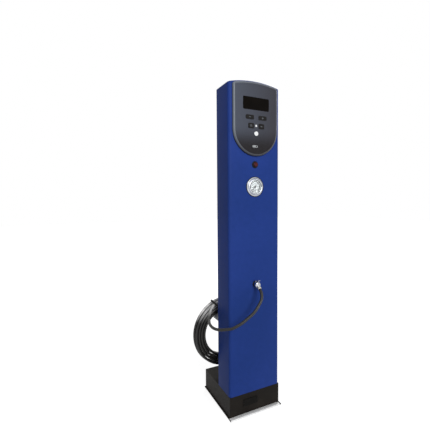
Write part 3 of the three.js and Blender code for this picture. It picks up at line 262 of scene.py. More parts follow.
# dark and light tone, roughness and how far it wanders, mottles per metre, metallic, specular,
# and the relief's grains per metre, stretch, strength and depth
finishValues = {
    "bluePowderCoat": ("#223a7c", "#28408a", 0.4, 0.05, 3, 0, 0.04, (420, even, 0.12, 0.0004)),
    "blackPowderCoat": ("#181513", "#201d1a", 0.5, 0.08, 14, 0, 0.06, (700, even, 0.3, 0.0004), floorDust),
    "blackMoulding": ("#131212", "#1c1b1a", 0.42, 0.06, 40, 0, 0.15, (1500, even, 0.25, 0.0002)),
    "blankBlack": ("#0d0c0b", "#141311", 0.55, 0.05, 40, 0, 0.06, (1500, even, 0.25, 0.0002)),
    "blackKey": ("#151414", "#1f1d1d", 0.35, 0.05, 60, 0, 0.12, (1800, even, 0.12, 0.0001)),
    "whiteCap": ("#e9ecee", "#f6f8f9", 0.3, 0.04, 60, 0, 0.5, (1200, even, 0.06, 0.0001)),
    "redCap": ("#3c0c10", "#541317", 0.3, 0.05, 70, 0, 0.2, (1500, even, 0.1, 0.0001)),
    "greyLens": ("#8f9295", "#a8abae", 0.35, 0.04, 90, 0, 0.5, (1200, even, 0.06, 0.0001)),
    "smokedWindow": ("#0b0806", "#110d0a", 0.15, 0.05, 18, 0, 0.04),
    "brightZinc": ("#8f959a", "#b3b8bc", 0.34, 0.1, 26, 1, 0.5, (500, even, 0.1, 0.0002)),
    "paleZinc": ("#c9ccce", "#dcdee0", 0.45, 0.06, 30, 0.35, 0.5, (500, even, 0.1, 0.0002)),
    "satinStrip": ("#f4f5f6", "#fdfdfd", 0.35, 0.06, 20, 0.1, 0.5, (900, alongX, 0.06, 0.0002)),
    "satinChrome": ("#acafb5", "#bec1c6", 0.26, 0.05, 30, 1, 0.5, (300, even, 0.03, 0.0002)),
    "polishedChrome": ("#a2a5ab", "#b7babf", 0.18, 0.05, 30, 1, 0.5, (300, even, 0.03, 0.0002)),
    "nickel": ("#a9a79e", "#c2c0b8", 0.3, 0.06, 60, 1, 0.5, (2400, alongZ, 0.1, 0.0002)),
    "brushedAluminium": ("#b7babd", "#d4d7d9", 0.32, 0.08, 20, 1, 0.5, (1400, alongX, 0.2, 0.0002)),
    "turnedBrass": ("#a9863f", "#c6a45c", 0.3, 0.08, 60, 1, 0.5, (2400, alongZ, 0.15, 0.0002)),
    "boardLacquer": ("#124a2c", "#1b6a40", 0.35, 0.06, 90, 0, 0.5, (900, even, 0.15, 0.0002)),
    "blueNylon": ("#1d56ad", "#2f72cc", 0.3, 0.05, 50, 0, 0.5, (600, even, 0.05, 0.0002)),
    "ribbonGrey": ("#8d9093", "#a9acaf", 0.45, 0.05, 40, 0, 0.5, (1600, alongRibbon, 0.5, 0.0003)),
    "gripInsert": ("#bfc1c3", "#d3d5d6", 0.6, 0.05, 80),
    "dialWhite": ("#e4e6e6", "#f2f4f4", 0.45, 0.05, 60, 0, 0.5, (900, even, 0.04, 0.0001)),
    "dialInk": ("#57504b", "#6d645d", 0.5, 0.05, 200),
    "dialBlack": ("#141414", "#222222", 0.5, 0.05, 200),
    "keyPrint": ("#565b61", "#6a6f75", 0.4, 0.05, 200),
}
finishes = {name: makeFinish(name, *values) for name, values in finishValues.items()}


# a painted sheen: the panel's colour is lighter at its top and its left, and darker towards its lower end and
# its right, standing in for light from above reflected in it
def makeSheenPaintedLacquer(name, values):
    material, tree, shader = newMaterial(name)
    axes = axesOf(tree, objectPlace(tree))
    low = panelCentreZ - panelHalfWidth + values["darkEnd"]
    # painted sheen and shade: lighter upwards from the dark lower end, and lighter at the left than at the
    # right
    rise = rangeOf(tree, axes["Z"], low, low + values["fade"], smooth=True)
    across = rangeOf(tree, axes["X"], -panelHalfWidth, panelHalfWidth)
    upper = blended(tree, across, colour(values["left"]), colour(values["right"]))
    base = blended(tree, rise, colour(values["lower"]), upper)
    grain = useGroup(tree, "mottle", Scale=values["mottle"])["Grain"]
    share = productOf(tree, grain, values["flecks"])
    feedAll(tree, shader, {
        "Base Color": blended(tree, share, base, colour(values["fleck"])),
        "Roughness": rangeOf(tree, grain, 0.0, 1.0, *values["roughness"]),
        "Specular IOR Level": values["specular"],
    })
    addRelief(tree, shader, *values["relief"])
    return material


sheenPaintedFinishes = {
    "panelLacquer": {
        "lower": "#211d1e", "left": "#4e535f", "right": "#3b3a40", "fleck": "#6b7079", "flecks": 0.1,
        "darkEnd": 0.032, "fade": 0.09, "roughness": (0.31, 0.41), "specular": 0.08, "mottle": 30,
        "relief": (900, even, 0.15, 0.0002),
    },
    # the painted highlight on the panel's rounded edge, lighter at its top and left
    "panelEdgeHighlight": {
        "lower": "#3f4045", "left": "#6c737c", "right": "#5d6066", "fleck": "#8b9096", "flecks": 0.1,
        "darkEnd": 0.0, "fade": 0.12, "roughness": (0.25, 0.35), "specular": 0.2, "mottle": 30,
        "relief": (900, even, 0.15, 0.0002),
    },
}
for name, values in sheenPaintedFinishes.items():
    finishes[name] = makeSheenPaintedLacquer(name, values)


gaugeLens = {"colour": "#f4f7f8", "mottle": 25, "roughness": (0.0, 0.04), "refraction": 1.45}


def makeClearGlass(values):
    material, tree, shader = newMaterial("clearGlass")
    grain = useGroup(tree, "mottle", Scale=values["mottle"])["Grain"]
    rough = rangeOf(tree, grain, 0.0, 1.0, *values["roughness"])
    feedAll(tree, shader, {"Roughness": rough, "Base Color": colour(values["colour"]),
                           "Transmission Weight": 1.0, "IOR": values["refraction"]})
    return material


finishes["clearGlass"] = makeClearGlass(gaugeLens)
print("finishes made:", len(finishes))


def newPiece(name, mesh):
    obj = bpy.data.objects.new(name, mesh)
    bpy.context.collection.objects.link(obj)
    return obj


def meshOf(name, corners, faces):
    mesh = bpy.data.meshes.new(name)
    mesh.from_pydata([tuple(corner) for corner in corners], [], faces)
    mesh.update()
    return mesh


def facingOut(mesh):
    shape = bmesh.new()
    shape.from_mesh(mesh)
    bmesh.ops.remove_doubles(shape, verts=shape.verts, dist=1e-6)
    bmesh.ops.recalc_face_normals(shape, faces=shape.faces)
    shape.to_mesh(mesh)
    shape.free()


def solidMesh(name, corners, faces, matrix):
    mesh = meshOf(name, corners, faces)
    facingOut(mesh)
    mesh.transform(matrix)
    return mesh


# local x across, y up, z out of the column's front, with the origin at that height
def frontMatrix(height, across=0.0):
    return Matrix(((1, 0, 0, across), (0, 0, -1, frontY), (0, 1, 0, height), (0, 0, 0, 1)))


# local x across, y down, z out of the back cover
backMatrix = Matrix(((1, 0, 0, 0), (0, 0, 1, backY), (0, -1, 0, 0), (0, 0, 0, 1)))


# a turned shape about local z; the profile is (radius, z) pairs from axis to axis, or a closed ring
def turnedMesh(name, profile, matrix, sides):
    corners, rows, faces = [], [], []
    for radius, z in profile:
        angles = [2 * math.pi * k / sides for k in range(sides if radius > 0 else 1)]
        rows.append(range(len(corners), len(corners) + len(angles)))
        corners += [(radius * math.cos(angle), radius * math.sin(angle), z) for angle in angles]
    for low, high in zip(rows, rows[1:]):
        for k in range(sides):
            there = (k + 1) % sides
            around = [row[at % len(row)] for row, at in ((low, k), (low, there), (high, there), (high, k))]
            face = list(dict.fromkeys(around))
            if len(face) > 2:
                faces.append(face)
    return solidMesh(name, corners, faces, matrix)


# the skin from ring to ring, capped at both ends, or closed into a loop
def skinFaces(count, rings, loop=False):
    starts = [ring * count for ring in range(rings)]
    ends = starts[1:] + starts[:1] if loop else starts[1:]
    faces = [[low + k, low + (k + 1) % count, high + (k + 1) % count, high + k]
             for low, high in zip(starts, ends) for k in range(count)]
    caps = [list(range(count))[::-1], [starts[-1] + k for k in range(count)]]
    return faces if loop else faces + caps


# outlines of (x, y) pairs, one at each z, skinned over
def layeredMesh(name, layers, matrix, loop=False):
    corners = [(x, y, z) for outline, z in layers for x, y in outline]
    return solidMesh(name, corners, skinFaces(len(layers[0][0]), len(layers), loop), matrix)


def slabMesh(name, outline, z0, z1, matrix):
    return layeredMesh(name, [(outline, z0), (outline, z1)], matrix)


def joined(name, meshes):
    shape = bmesh.new()
    for mesh in meshes:
        shape.from_mesh(mesh)
        bpy.data.meshes.remove(mesh)
    whole = bpy.data.meshes.new(name)
    shape.to_mesh(whole)
    shape.free()
    return whole


def evaluatedMesh(obj):
    return bpy.data.meshes.new_from_object(obj.evaluated_get(bpy.context.evaluated_depsgraph_get()))


# applies an object's modifiers
def settle(obj):
    mesh = evaluatedMesh(obj)
    obj.modifiers.clear()
    old = obj.data
    obj.data = mesh
    bpy.data.meshes.remove(old)


def addModifier(obj, name, kind, **settings):
    modifier = obj.modifiers.new(name, kind)
    for key, value in settings.items():
        setattr(modifier, key, value)
    return modifier


def combine(obj, meshes, operation):
    for mesh in meshes:
        tool = newPiece("tool", mesh)
        addModifier(obj, "tool", "BOOLEAN", operation=operation, solver="EXACT", object=tool)
        settle(obj)
        bpy.data.objects.remove(tool)


def bevel(obj, width, angle, segments=2):
    addModifier(obj, "edges", "BEVEL", width=width, segments=segments, limit_method="ANGLE",
                angle_limit=math.radians(angle), miter_outer="MITER_ARC")
    settle(obj)


def dress(obj, finishName, body="cabinet"):
    obj.data.materials.clear()
    obj.data.materials.append(finishes[finishName])
    obj.data.shade_smooth()
    obj.data.set_sharp_from_angle(angle=math.radians(sharpAngle))
    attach(obj, body)
    return obj


def addPiece(name, mesh, finishName, body="cabinet"):
    return dress(newPiece(name, mesh), finishName, body)


def addTurned(name, profile, matrix, finishName, replaced=None, body="cabinet", sides=64):
    piece = addPiece(name, turnedMesh(name, profile, matrix, sides), finishName, body)
    if replaced:
        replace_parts(piece, replaced)
    return piece


def arc(cx, cy, radius, start, end, steps):
    angles = (math.radians(start + (end - start) * i / steps) for i in range(steps + 1))
    return [(cx + radius * math.cos(angle), cy + radius * math.sin(angle)) for angle in angles]


def roundedOutline(width, height, radius, x=0.0, y=0.0, steps=8):
    right, top = width / 2 - radius, height / 2 - radius
    corners = ((right, top, 0), (-right, top, 90), (-right, -top, 180), (right, -top, 270))
    return [point for cx, cy, start in corners
            for point in arc(x + cx, y + cy, radius, start, start + 90, steps)]


sharpAngle = 34  # degrees, past which an edge shades sharp
brokenAngle = 50  # degrees, past which an edge of a frame node is broken

# one 12 mm rubber hose from the outlet, round the coil, to the chuck
hose = {
    "diameter": 0.012,
    "coilX": -0.052,
    "coilY": 0.060,  # middle of the two layers
    "coilZ": 0.301,
    "coilRadius": 0.159,  # outermost turn, to the middle of the hose
    "coilPitch": 0.0128,
    "layerPitch": 0.0133,
    "startAngle": 60,
    "turns": 7 + 11 / 12,
    "spread": 0.16,  # how far the first and last turns hang apart at the bottom, as a factor
    "crossing": 0.5,  # turns that the hose takes from one layer to the other
    "stepsPerTurn": 72,
    "lineStep": 0.004,
    "ringStep": 0.006,
    "sides": 16,
    "outletRadius": 0.0115,
    "outletZ": 0.405,
    "chuckEnd": 0.020,  # of the hose, from the chuck's elbow
}
hoseTail = [
    (-0.009, 0.069, 0.460), (0.008, 0.075, 0.457), (0.024, 0.082, 0.450), (0.039, 0.085, 0.440),
    (0.054, 0.083, 0.430), (0.068, 0.075, 0.420), (0.079, 0.062, 0.412), (0.086, 0.045, 0.407),
]
hoseRun = [
    (-0.002, -0.175, 0.531), (-0.009, -0.183, 0.515), (-0.023, -0.187, 0.497), (-0.040, -0.189, 0.477),
    (-0.057, -0.187, 0.461), (-0.077, -0.184, 0.447), (-0.098, -0.181, 0.433), (-0.118, -0.176, 0.422),
    (-0.137, -0.168, 0.412), (-0.155, -0.155, 0.407), (-0.170, -0.139, 0.402), (-0.181, -0.119, 0.398),
    (-0.187, -0.096, 0.396), (-0.188, -0.072, 0.397), (-0.184, -0.048, 0.401), (-0.174, -0.025, 0.408),
    (-0.161, -0.002, 0.419), (-0.144, 0.018, 0.431), (-0.122, 0.034, 0.442), (-0.099, 0.041, 0.451),
    (-0.076, 0.045, 0.459), (-0.053, 0.048, 0.463), (-0.030, 0.050, 0.464), (-0.009, 0.052, 0.459),
]
hoseFinish = {
    "dark": "#191817",
    "light": "#272624",
    "mottle": 16.0,
    "roughness": (0.28, 0.44),
    "specular": 0.3,
    "wrapPitch": 0.0025,
    "ribs": 24,
    "relief": 0.16,
    "reliefDepth": 0.0002,
}
coilPaintedHighlight = {
    "colour": "#eeedeb",
    "amount": 0.95,
    "from": (-0.35, -0.50, 0.79),  # the side that takes the painted highlight
    "radii": (0.116, 0.146),
    "heights": (0.055, 0.125),
    "depths": (-0.03, 0.03),
    "facing": (0.0, 0.6),
    "noise": 60.0,
    "patches": (0.25, 0.6, 0.75, 1.0),  # of the noise, and how strong the painted highlight is there
}


# a painted highlight: pale colour on the upper side of the coil's outer turns where they face the light,
# thickest at its top
def paintedHighlightMask(tree, values):
    place = objectPlace(tree)
    axes = axesOf(tree, place)
    x = mathOf(tree, "SUBTRACT", axes["X"], hose["coilX"])
    z = mathOf(tree, "SUBTRACT", axes["Z"], hose["coilZ"])
    squares = mathOf(tree, "ADD", productOf(tree, x, x), productOf(tree, z, z))
    outer = rangeOf(tree, mathOf(tree, "SQRT", squares), *values["radii"], smooth=True)
    high = rangeOf(tree, z, *values["heights"], smooth=True)
    behind = rangeOf(tree, axes["Y"], *values["depths"], smooth=True)
    highlightFacing = addNode(tree, "ShaderNodeAttribute", attribute_name="highlightFacing").outputs["Fac"]
    lit = rangeOf(tree, highlightFacing, *values["facing"], smooth=True)
    broken = rangeOf(tree, noiseOf(tree, place, values["noise"]), *values["patches"])
    return productOf(tree, outer, high, behind, lit, broken, values["amount"])


# black rubber whose wrap marks follow the hose: u runs along it in metres, v round it
def makeHoseRubber(values):
    material, tree, shader = newMaterial("hoseRubber")
    along = axesOf(tree, addNode(tree, "ShaderNodeUVMap", uv_map="along").outputs["UV"])
    mottle = useGroup(tree, "mottle", Scale=values["mottle"])
    base = blended(tree, mottle["Tone"], colour(values["dark"]), colour(values["light"]))
    # mixes the painted highlight into the rubber's colour on the coil's upper turns
    base = blended(tree, paintedHighlightMask(tree, coilPaintedHighlight), base, colour(coilPaintedHighlight["colour"]))
    rough = rangeOf(tree, mottle["Grain"], 0.0, 1.0, *values["roughness"])
    feedAll(tree, shader, {"Base Color": base, "Roughness": rough, "Specular IOR Level": values["specular"]})
    wrap = mathOf(tree, "SINE", productOf(tree, along["X"], 2 * math.pi / values["wrapPitch"]))
    ribs = mathOf(tree, "SINE", productOf(tree, along["Y"], 2 * math.pi * values["ribs"]))
    height = mathOf(tree, "ADD", productOf(tree, wrap, 0.5), productOf(tree, ribs, 0.5))
    addBump(tree, shader, height, values["relief"], values["reliefDepth"])
    return material


# the coil goes in from its outer turn, across to the other layer, and out again
def coilLine(values):
    half = values["turns"] / 2
    widest = values["coilPitch"] * half / 2
    middle = values["coilRadius"] - widest
    crossing = values["crossing"]
    count = round(values["turns"] * values["stepsPerTurn"])
    points = []
    for i in range(count + 1):
        turn = values["turns"] * i / count
        angle = math.radians(values["startAngle"]) - 2 * math.pi * turn
        distance = widest - values["coilPitch"] * min(turn, values["turns"] - turn)
        hanging = max(0.0, -math.sin(angle)) * distance / widest
        radius = middle + distance * (1 + values["spread"] * hanging ** 2)
        share = min(max((turn - half + crossing / 2) / crossing, 0.0), 1.0)
        climb = share * share * (3 - 2 * share)
        points.append(Vector((
            values["coilX"] + radius * math.cos(angle),
            values["coilY"] + values["layerPitch"] * (climb - 0.5),
            values["coilZ"] + radius * math.sin(angle),
        )))
    return points


# a centripetal spline through the points
def smoothLine(points):
    points = [Vector(point) for point in points]
    padded = [points[0] * 2 - points[1]] + points + [points[-1] * 2 - points[-2]]
    line = []
    for a, b, c, d in zip(padded, padded[1:], padded[2:], padded[3:]):
        before, here, after = ((q - p).length ** 0.5 for p, q in ((a, b), (b, c), (c, d)))
        leave = ((b - a) / before - (c - a) / (before + here) + (c - b) / here) * here
        arrive = ((c - b) / here - (d - b) / (here + after) + (d - c) / after) * here
        steps = max(2, round((c - b).length / hose["lineStep"]))
        for i in range(steps):
            t = i / steps
            line.append(b + leave * t + (c * 3 - b * 3 - leave * 2 - arrive) * t ** 2
                        + (b * 2 - c * 2 + leave + arrive) * t ** 3)
    return line + [points[-1]]


# the line again in equal steps, and its length
def evenly(line, step):
    lengths = [0.0]
    for a, b in zip(line, line[1:]):
        lengths.append(lengths[-1] + (b - a).length)
    wanted = np.linspace(0, lengths[-1], round(lengths[-1] / step) + 1)
    columns = [np.interp(wanted, lengths, [point[k] for point in line]) for k in range(3)]
    return [Vector(point) for point in zip(*columns)], lengths[-1]


# a tube whose rings turn as little as they can, with its length in metres along u
def tubeMesh(name, line, radius, sides):
    padded = [line[0]] + line + [line[-1]]
    tangents = [(after - before).normalized() for before, after in zip(padded, padded[2:])]
    side = tangents[0].orthogonal().normalized()
    angles = [2 * math.pi * k / sides for k in range(sides)]
    corners, lengths = [], [0.0]
    for i, (point, tangent) in enumerate(zip(line, tangents)):
        side = (side - tangent * side.dot(tangent)).normalized()
        other = tangent.cross(side)
        corners += [point + (side * math.cos(angle) + other * math.sin(angle)) * radius for angle in angles]
        if i:
            lengths.append(lengths[-1] + (point - line[i - 1]).length)
    mesh = meshOf(name, corners, skinFaces(sides, len(line)))
    layer = mesh.uv_layers.new(name="along")
    for polygon in mesh.polygons:
        wraps = any(mesh.loops[loop].vertex_index % sides == sides - 1 for loop in polygon.loop_indices)
        for loop in polygon.loop_indices:
            ring, k = divmod(mesh.loops[loop].vertex_index, sides)
            layer.data[loop].uv = (lengths[ring], 1.0 if wraps and k == 0 else k / sides)
    return mesh


# how squarely each point of a tube faces a direction
def markHighlightFacing(mesh, line, sides, direction):
    outward = [(vertex.co - line[vertex.index // sides]).normalized() for vertex in mesh.vertices]
    layer = mesh.attributes.new("highlightFacing", "FLOAT", "POINT")
    layer.data.foreach_set("value", [max(0.0, normal.dot(direction)) for normal in outward])


outletLow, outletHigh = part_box("outlet_fitting")
hoseStart = Vector((outletLow.x + hose["outletRadius"], outletHigh.y + gap, hose["outletZ"]))
chuckSlant = Vector((0, -1, -1)).normalized()
elbow = Vector((0, frontY - chuckElbow, chuckZ))


def hoseLine(values):
    coil = coilLine(values)
    reach = values["diameter"]
    inward, outward = (coil[0] - coil[1]).normalized(), (coil[-1] - coil[-2]).normalized()
    inner, outer = coil[0] + inward * reach, coil[-1] + outward * reach
    tail = [outer, outer + outward * reach] + [Vector(point) for point in hoseTail]
    tail += [hoseStart + Vector((0, reach, 0)), hoseStart]
    atChuck = elbow + chuckSlant * (values["chuckEnd"] + gap)
    run = [atChuck, atChuck + chuckSlant * reach] + [Vector(point) for point in hoseRun]
    run += [inner + inward * reach, inner]
    return evenly(smoothLine(tail[::-1]) + coil[::-1] + smoothLine(run[::-1]), values["ringStep"])


finishes["hoseRubber"] = makeHoseRubber(hoseFinish)
hosePath, hoseLength = hoseLine(hose)
airHose = newPiece("airHose", tubeMesh("airHose", hosePath, hose["diameter"] / 2, hose["sides"]))
# how squarely each point faces the side of the painted highlight, for its mask
markHighlightFacing(airHose.data, hosePath, hose["sides"], Vector(coilPaintedHighlight["from"]))
dress(airHose, "hoseRubber")
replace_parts(airHose, "hose_tail", "hose_coil", "hose_run")
print("hose made:", round(hoseLength, 3), "m")

# a rubber sleeve on the hanger's finger; its places are from the middle of the hanger's plate's outer face
fingerSleeve = {
    "diameter": 0.0098,
    "sides": 20,
    "ringStep": 0.004,
    "rise": 0.060,  # of the plate's middle above the coil's centre
    "plate": 0.004,
    "bends": [(-0.026, -0.001, 0.034), (-0.026, 0.006, 0.035), (-0.033, 0.013, 0.047), (-0.046, 0.017, 0.066),
              (-0.062, 0.022, 0.084)],
    "tip": (-0.083, 0.03675, 0.105),  # with y from the origin
    "bare": 0.16,  # share of the finger that shows at the plate
    "overTip": 0.0012,
    "rounding": 0.0015,
}


def makeFingerSleeve(values):
    plateFar = backY + gap + values["plate"]
    places = [Vector((x, plateFar + y, z)) for x, y, z in values["bends"]] + [Vector(values["tip"])]
    middle = Vector((hose["coilX"], 0, hose["coilZ"] + values["rise"]))
    line = evenly(smoothLine([middle + place for place in places]), values["ringStep"])[0]
    first = round(len(line) * values["bare"])
    along = (line[-1] - line[-2]).normalized()
    covered = line[first:] + [line[-1] + along * values["overTip"]]
    mesh = tubeMesh("fingerSleeve", covered, values["diameter"] / 2, values["sides"])
    sleeve = newPiece("fingerSleeve", mesh)
    bevel(sleeve, values["rounding"], angle=60, segments=3)
    dress(sleeve, "blackMoulding")


makeFingerSleeve(fingerSleeve)

# the frame's own nodes, by finish and by how wide their edges are broken
nodeFinishes = {
    ("blackPowderCoat", 0.0006): "base_plate",
    ("blackPowderCoat", 0.0008): "plinth_box",
    ("blankBlack", 0.0003): "service_blank",
    ("bluePowderCoat", 0.0003): "column_shell service_door",
    ("bluePowderCoat", 0.0004): "top_cap rear_cover",
    ("brightZinc", 0): "hinge_leaf hinge_rod",
    ("brightZinc", 0.0003): "lock_cam mounting_plate gauge_case gauge_clamp inflate_plunger deflate_plunger",
    ("paleZinc", 0.0004): "hose_hanger",
    ("polishedChrome", 0.0003): "lock_barrel chuck_lever",
    ("smokedWindow", 0.0003): "display_window",
    ("greyLens", 0.0004): "status_lens",
    ("blackKey", 0.0006): "key_minus key_plus key_mode key_unit",
    ("blackMoulding", 0): "mains_cable",
    ("blackMoulding", 0.0003): "display_module mains_gland",
    ("blackMoulding", 0.0004): "switch_nut switch_block inflate_solenoid deflate_solenoid",
    ("boardLacquer", 0): "control_board",
    ("ribbonGrey", 0): "ribbon_cable",
    ("dialBlack", 0): "gauge_pointer",
    ("turnedBrass", 0): "gauge_movement",
    ("turnedBrass", 0.0002): "pressure_sensor exhaust_silencer inlet_fitting outlet_fitting",
    ("brushedAluminium", 0.0004): "valve_manifold",
    ("brushedAluminium", 0.0006): "power_supply",
    ("blueNylon", 0): "inlet_tube outlet_tube gauge_tube",
}


# welds the loose triangles and shades them smooth up to an angle
def makeSoftening():
    inputs = {"Geometry": "Geometry", "Weld Distance": 0.00001, "Sharp Angle": math.radians(sharpAngle)}
    tree, given, result = newTree("softening", "GeometryNodeTree", inputs, {"Geometry": "Geometry"})
    tree.is_modifier = True
    pieces = {"Geometry": given["Geometry"], "Distance": given["Weld Distance"]}
    welded = addNode(tree, "GeometryNodeMergeByDistance", pieces).outputs["Geometry"]
    smooth = addNode(tree, "GeometryNodeSetShadeSmooth", {"Geometry": welded}).outputs["Geometry"]
    angle = tree.nodes.new("GeometryNodeInputMeshEdgeAngle").outputs["Unsigned Angle"]
    over = addNode(tree, "FunctionNodeCompare", {0: angle, 1: given["Sharp Angle"]}, operation="GREATER_THAN")
    edges = {"Geometry": smooth, "Selection": over.outputs["Result"], "Shade Smooth": False}
    sharp = addNode(tree, "GeometryNodeSetShadeSmooth", edges, domain="EDGE").outputs["Geometry"]
    feed(tree, result["Geometry"], sharp)
    return tree


softening = makeSoftening()
for (finishName, edge), names in nodeFinishes.items():
    for target in (nodes[name] for name in names.split()):
        target.data.materials.clear()
        target.data.materials.append(finishes[finishName])
        addModifier(target, "softening", "NODES", node_group=softening)
        if edge:
            addModifier(target, "edges", "BEVEL", width=edge, segments=2, limit_method="ANGLE",
                        angle_limit=math.radians(brokenAngle), harden_normals=True)
print("frame nodes finished:", sum(len(names.split()) for names in nodeFinishes.values()))

panel = {
    "archRadius": 0.4962,  # of the column's crown
    "archTop": 1.416,
    "topInset": 0.005,
    "topCorner": 0.012,
    "proud": 0.011,
    "wall": 0.0025,
    "edge": 0.007,  # how far its rounded edge reaches in
    "edgeSteps": 8,
    "grooveInset": 0.0105,
    "grooveWidth": 0.0012,
    "grooveSlope": 0.0003,
    "grooveDepth": 0.0004,
    "window": (0.127, 0.052, 0, 0.106),  # width, height, across and rise
    "upperKeys": (0.040, 0.018, 0.031, 0.050),
    "lowerKeys": (0.028, 0.022, 0.025, 0.015),
    "status": (0.027, 0.010, -0.006, -0.069),
    "corner": 0.005,
    "statusCorner": 0.0045,
    "startKey": (0.019, -0.016),  # diameter and rise
    "lamp": (0.010, 0.016),
    "breaking": 0.0004,
    "normalWeight": 80,
}


def panelOutline(inset):
    side = panelHalfWidth - inset
    topRadius = panel["archRadius"] - panel["topInset"] - inset
    topCentre = panel["archTop"] - panel["archRadius"] - panelCentreZ
    corner = max(panel["topCorner"] - inset, 0.002)
    cx = side - corner
    cy = topCentre + math.sqrt((topRadius - corner) ** 2 - cx ** 2)
    lean = math.degrees(math.atan2(cy - topCentre, cx))
    outline = arc(0, 0, side, 180, 360, 64) + arc(cx, cy, corner, 0, lean, 8)
    outline += arc(0, topCentre, topRadius, lean, 180 - lean, 32)[1:-1]
    return outline + arc(-cx, cy, corner, 180 - lean, 180, 8)


# the panel's outline drawn in by each inset, at each z
def panelMesh(name, steps, loop=False):
    layers = [(panelOutline(inset), z) for inset, z in steps]
    return layeredMesh(name, layers, frontMatrix(panelCentreZ), loop)


def makePanel():
    front, edge = panel["proud"], panel["edge"]
    steps = [(0.0, gap), (0.0, front - edge)]
    for angle in (math.pi / 2 * i / panel["edgeSteps"] for i in range(1, panel["edgeSteps"] + 1)):
        steps.append((edge * (1 - math.cos(angle)), front - edge + edge * math.sin(angle)))
    groove, bottom = panel["grooveInset"], front - panel["grooveDepth"]
    width, slope = panel["grooveWidth"], panel["grooveSlope"]
    steps += [(groove, front), (groove + slope, bottom), (groove + width - slope, bottom),
              (groove + width, front)]
    shell = newPiece("controlPanel", panelMesh("controlPanel", steps))
    over = 0.001  # how far a cutter goes past what it cuts
    inset, inner = edge + panel["wall"], front - panel["wall"]
    holes = [roundedOutline(*panel["window"][:2], panel["corner"], *panel["window"][2:])]
    for width, height, across, rise in (panel["upperKeys"], panel["lowerKeys"]):
        holes += [roundedOutline(width, height, panel["corner"], side * across, rise) for side in (-1, 1)]
    for diameter, rise in (panel["startKey"], panel["lamp"]):
        holes.append(arc(0, rise, diameter / 2, 0, 360, 48)[:-1])
    holes.append(roundedOutline(*panel["status"][:2], panel["statusCorner"], *panel["status"][2:]))
    cutters = [panelMesh("hollow", [(inset, -over), (inset, inner)])]
    for hole in holes:
        cutters.append(slabMesh("hole", hole, inner - over, front + over, frontMatrix(panelCentreZ)))
    combine(shell, cutters, "DIFFERENCE")
    bevel(shell, panel["breaking"], angle=60)
    dress(shell, "panelLacquer")
    # leans each normal to the larger face beside it, so that the flat front shades flat
    addModifier(shell, "normals", "WEIGHTED_NORMAL", keep_sharp=True, weight=panel["normalWeight"])
    settle(shell)
    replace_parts(shell, "panel_bezel")


makePanel()

# a thin pale skin over the panel's rounded edge: a painted highlight where the edge catches the light,
# lighter at its top and left and darker at its lower end
panelEdgeHighlight = {
    "from": 6,  # degrees round the edge
    "to": 0.0078,
    "proud": 0.00015,
    "steps": 10,
}


def makePanelEdgeHighlight(values):
    edge, top = panel["edge"], panel["proud"]
    angles = np.linspace(math.radians(values["from"]), math.pi / 2, values["steps"])

    def side(offset):
        reach = edge + offset
        curve = [(edge - reach * math.cos(a), top - edge + reach * math.sin(a)) for a in angles]
        return curve + [(values["to"], top + offset)]

    section = side(values["proud"]) + side(-values["proud"])[::-1]
    addPiece("panelEdgeHighlight", panelMesh("panelEdgeHighlight", section, loop=True), "panelEdgeHighlight")


makePanelEdgeHighlight(panelEdgeHighlight)


# how far each round cap stands out of the panel, and the height of its dome
roundCaps = {
    "flange": 0.0012,
    "start": (0.0020, 0.0012),
    "lamp": (0.0016, 0.0014),
    "domeAngles": (0.15, 1.5, 8),  # first and last in radians, and how many
}


# with a flange behind the panel and a domed front
def roundCap(name, node, body, place, shape):
    (diameter, rise), (proud, dome) = place, shape
    radius = diameter / 2 - gap
    flange, under = radius + roundCaps["flange"], panel["proud"] - panel["wall"] - gap
    front, back = panel["proud"] + proud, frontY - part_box(node)[1].y
    profile = [(0, back), (flange, back), (flange, under - 0.0001), (radius, under), (radius, front - dome)]
    for angle in np.linspace(*roundCaps["domeAngles"]):
        profile.append((radius * math.cos(angle), front - dome + dome * math.sin(angle)))
    matrix = frontMatrix(panelCentreZ + rise)
    addTurned(name, profile + [(0, front)], matrix, "whiteCap", node, body, sides=48)


roundCap("startButton", "start_key", "start_key", panel["startKey"], roundCaps["start"])
roundCap("readyLamp", "indicator_lamp", "cabinet", panel["lamp"], roundCaps["lamp"])

keyPrint = {
    "long": 0.009,
    "stroke": 0.0016,
    "thinStroke": 0.0012,
    "step": 0.003,
    "arrow": (0.001, 0.0045, 0.003),  # base and tip from the key's middle, and half its height
    "sunk": 0.0002,
    "proud": 0.0001,
}


def bar(x, y, width, height):
    return [(x + side * width / 2, y + up * height / 2) for side, up in ((-1, -1), (1, -1), (1, 1), (-1, 1))]


def plus(x, y, size, width):
    s, w = size / 2, width / 2
    ring = ((s, w), (w, w), (w, s), (-w, s), (-w, w), (-s, w), (-s, -w), (-w, -w), (-w, -s), (w, -s), (w, -w),
            (s, -w))
    return [(x + a, y + b) for a, b in ring]


def arrows(x, y, values):
    base, tip, half = values
    return [[(x + way * tip, y), (x + way * base, y - half), (x + way * base, y + half)] for way in (-1, 1)]


def makeKeyMarks(values):
    upperX, upperY = panel["upperKeys"][2:]
    lowerX, lowerY = panel["lowerKeys"][2:]
    long, stroke, step = values["long"], values["stroke"], values["step"]
    bars = [bar(-lowerX, lowerY + rise, long, values["thinStroke"]) for rise in (-step, 0, step)]
    marks = {
        "minusMark": ("key_minus", [bar(-upperX, upperY, long, stroke)]),
        "plusMark": ("key_plus", [plus(upperX, upperY, long, stroke)]),
        "modeMark": ("key_mode", bars),
        "unitMark": ("key_unit", arrows(lowerX, lowerY, values["arrow"])),
    }
    for name, (key, outlines) in marks.items():
        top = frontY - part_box(key)[0].y
        low, high = top - values["sunk"], top + values["proud"]
        meshes = [slabMesh(name, outline, low, high, frontMatrix(panelCentreZ)) for outline in outlines]
        addPiece(name, joined(name, meshes), "keyPrint", key)


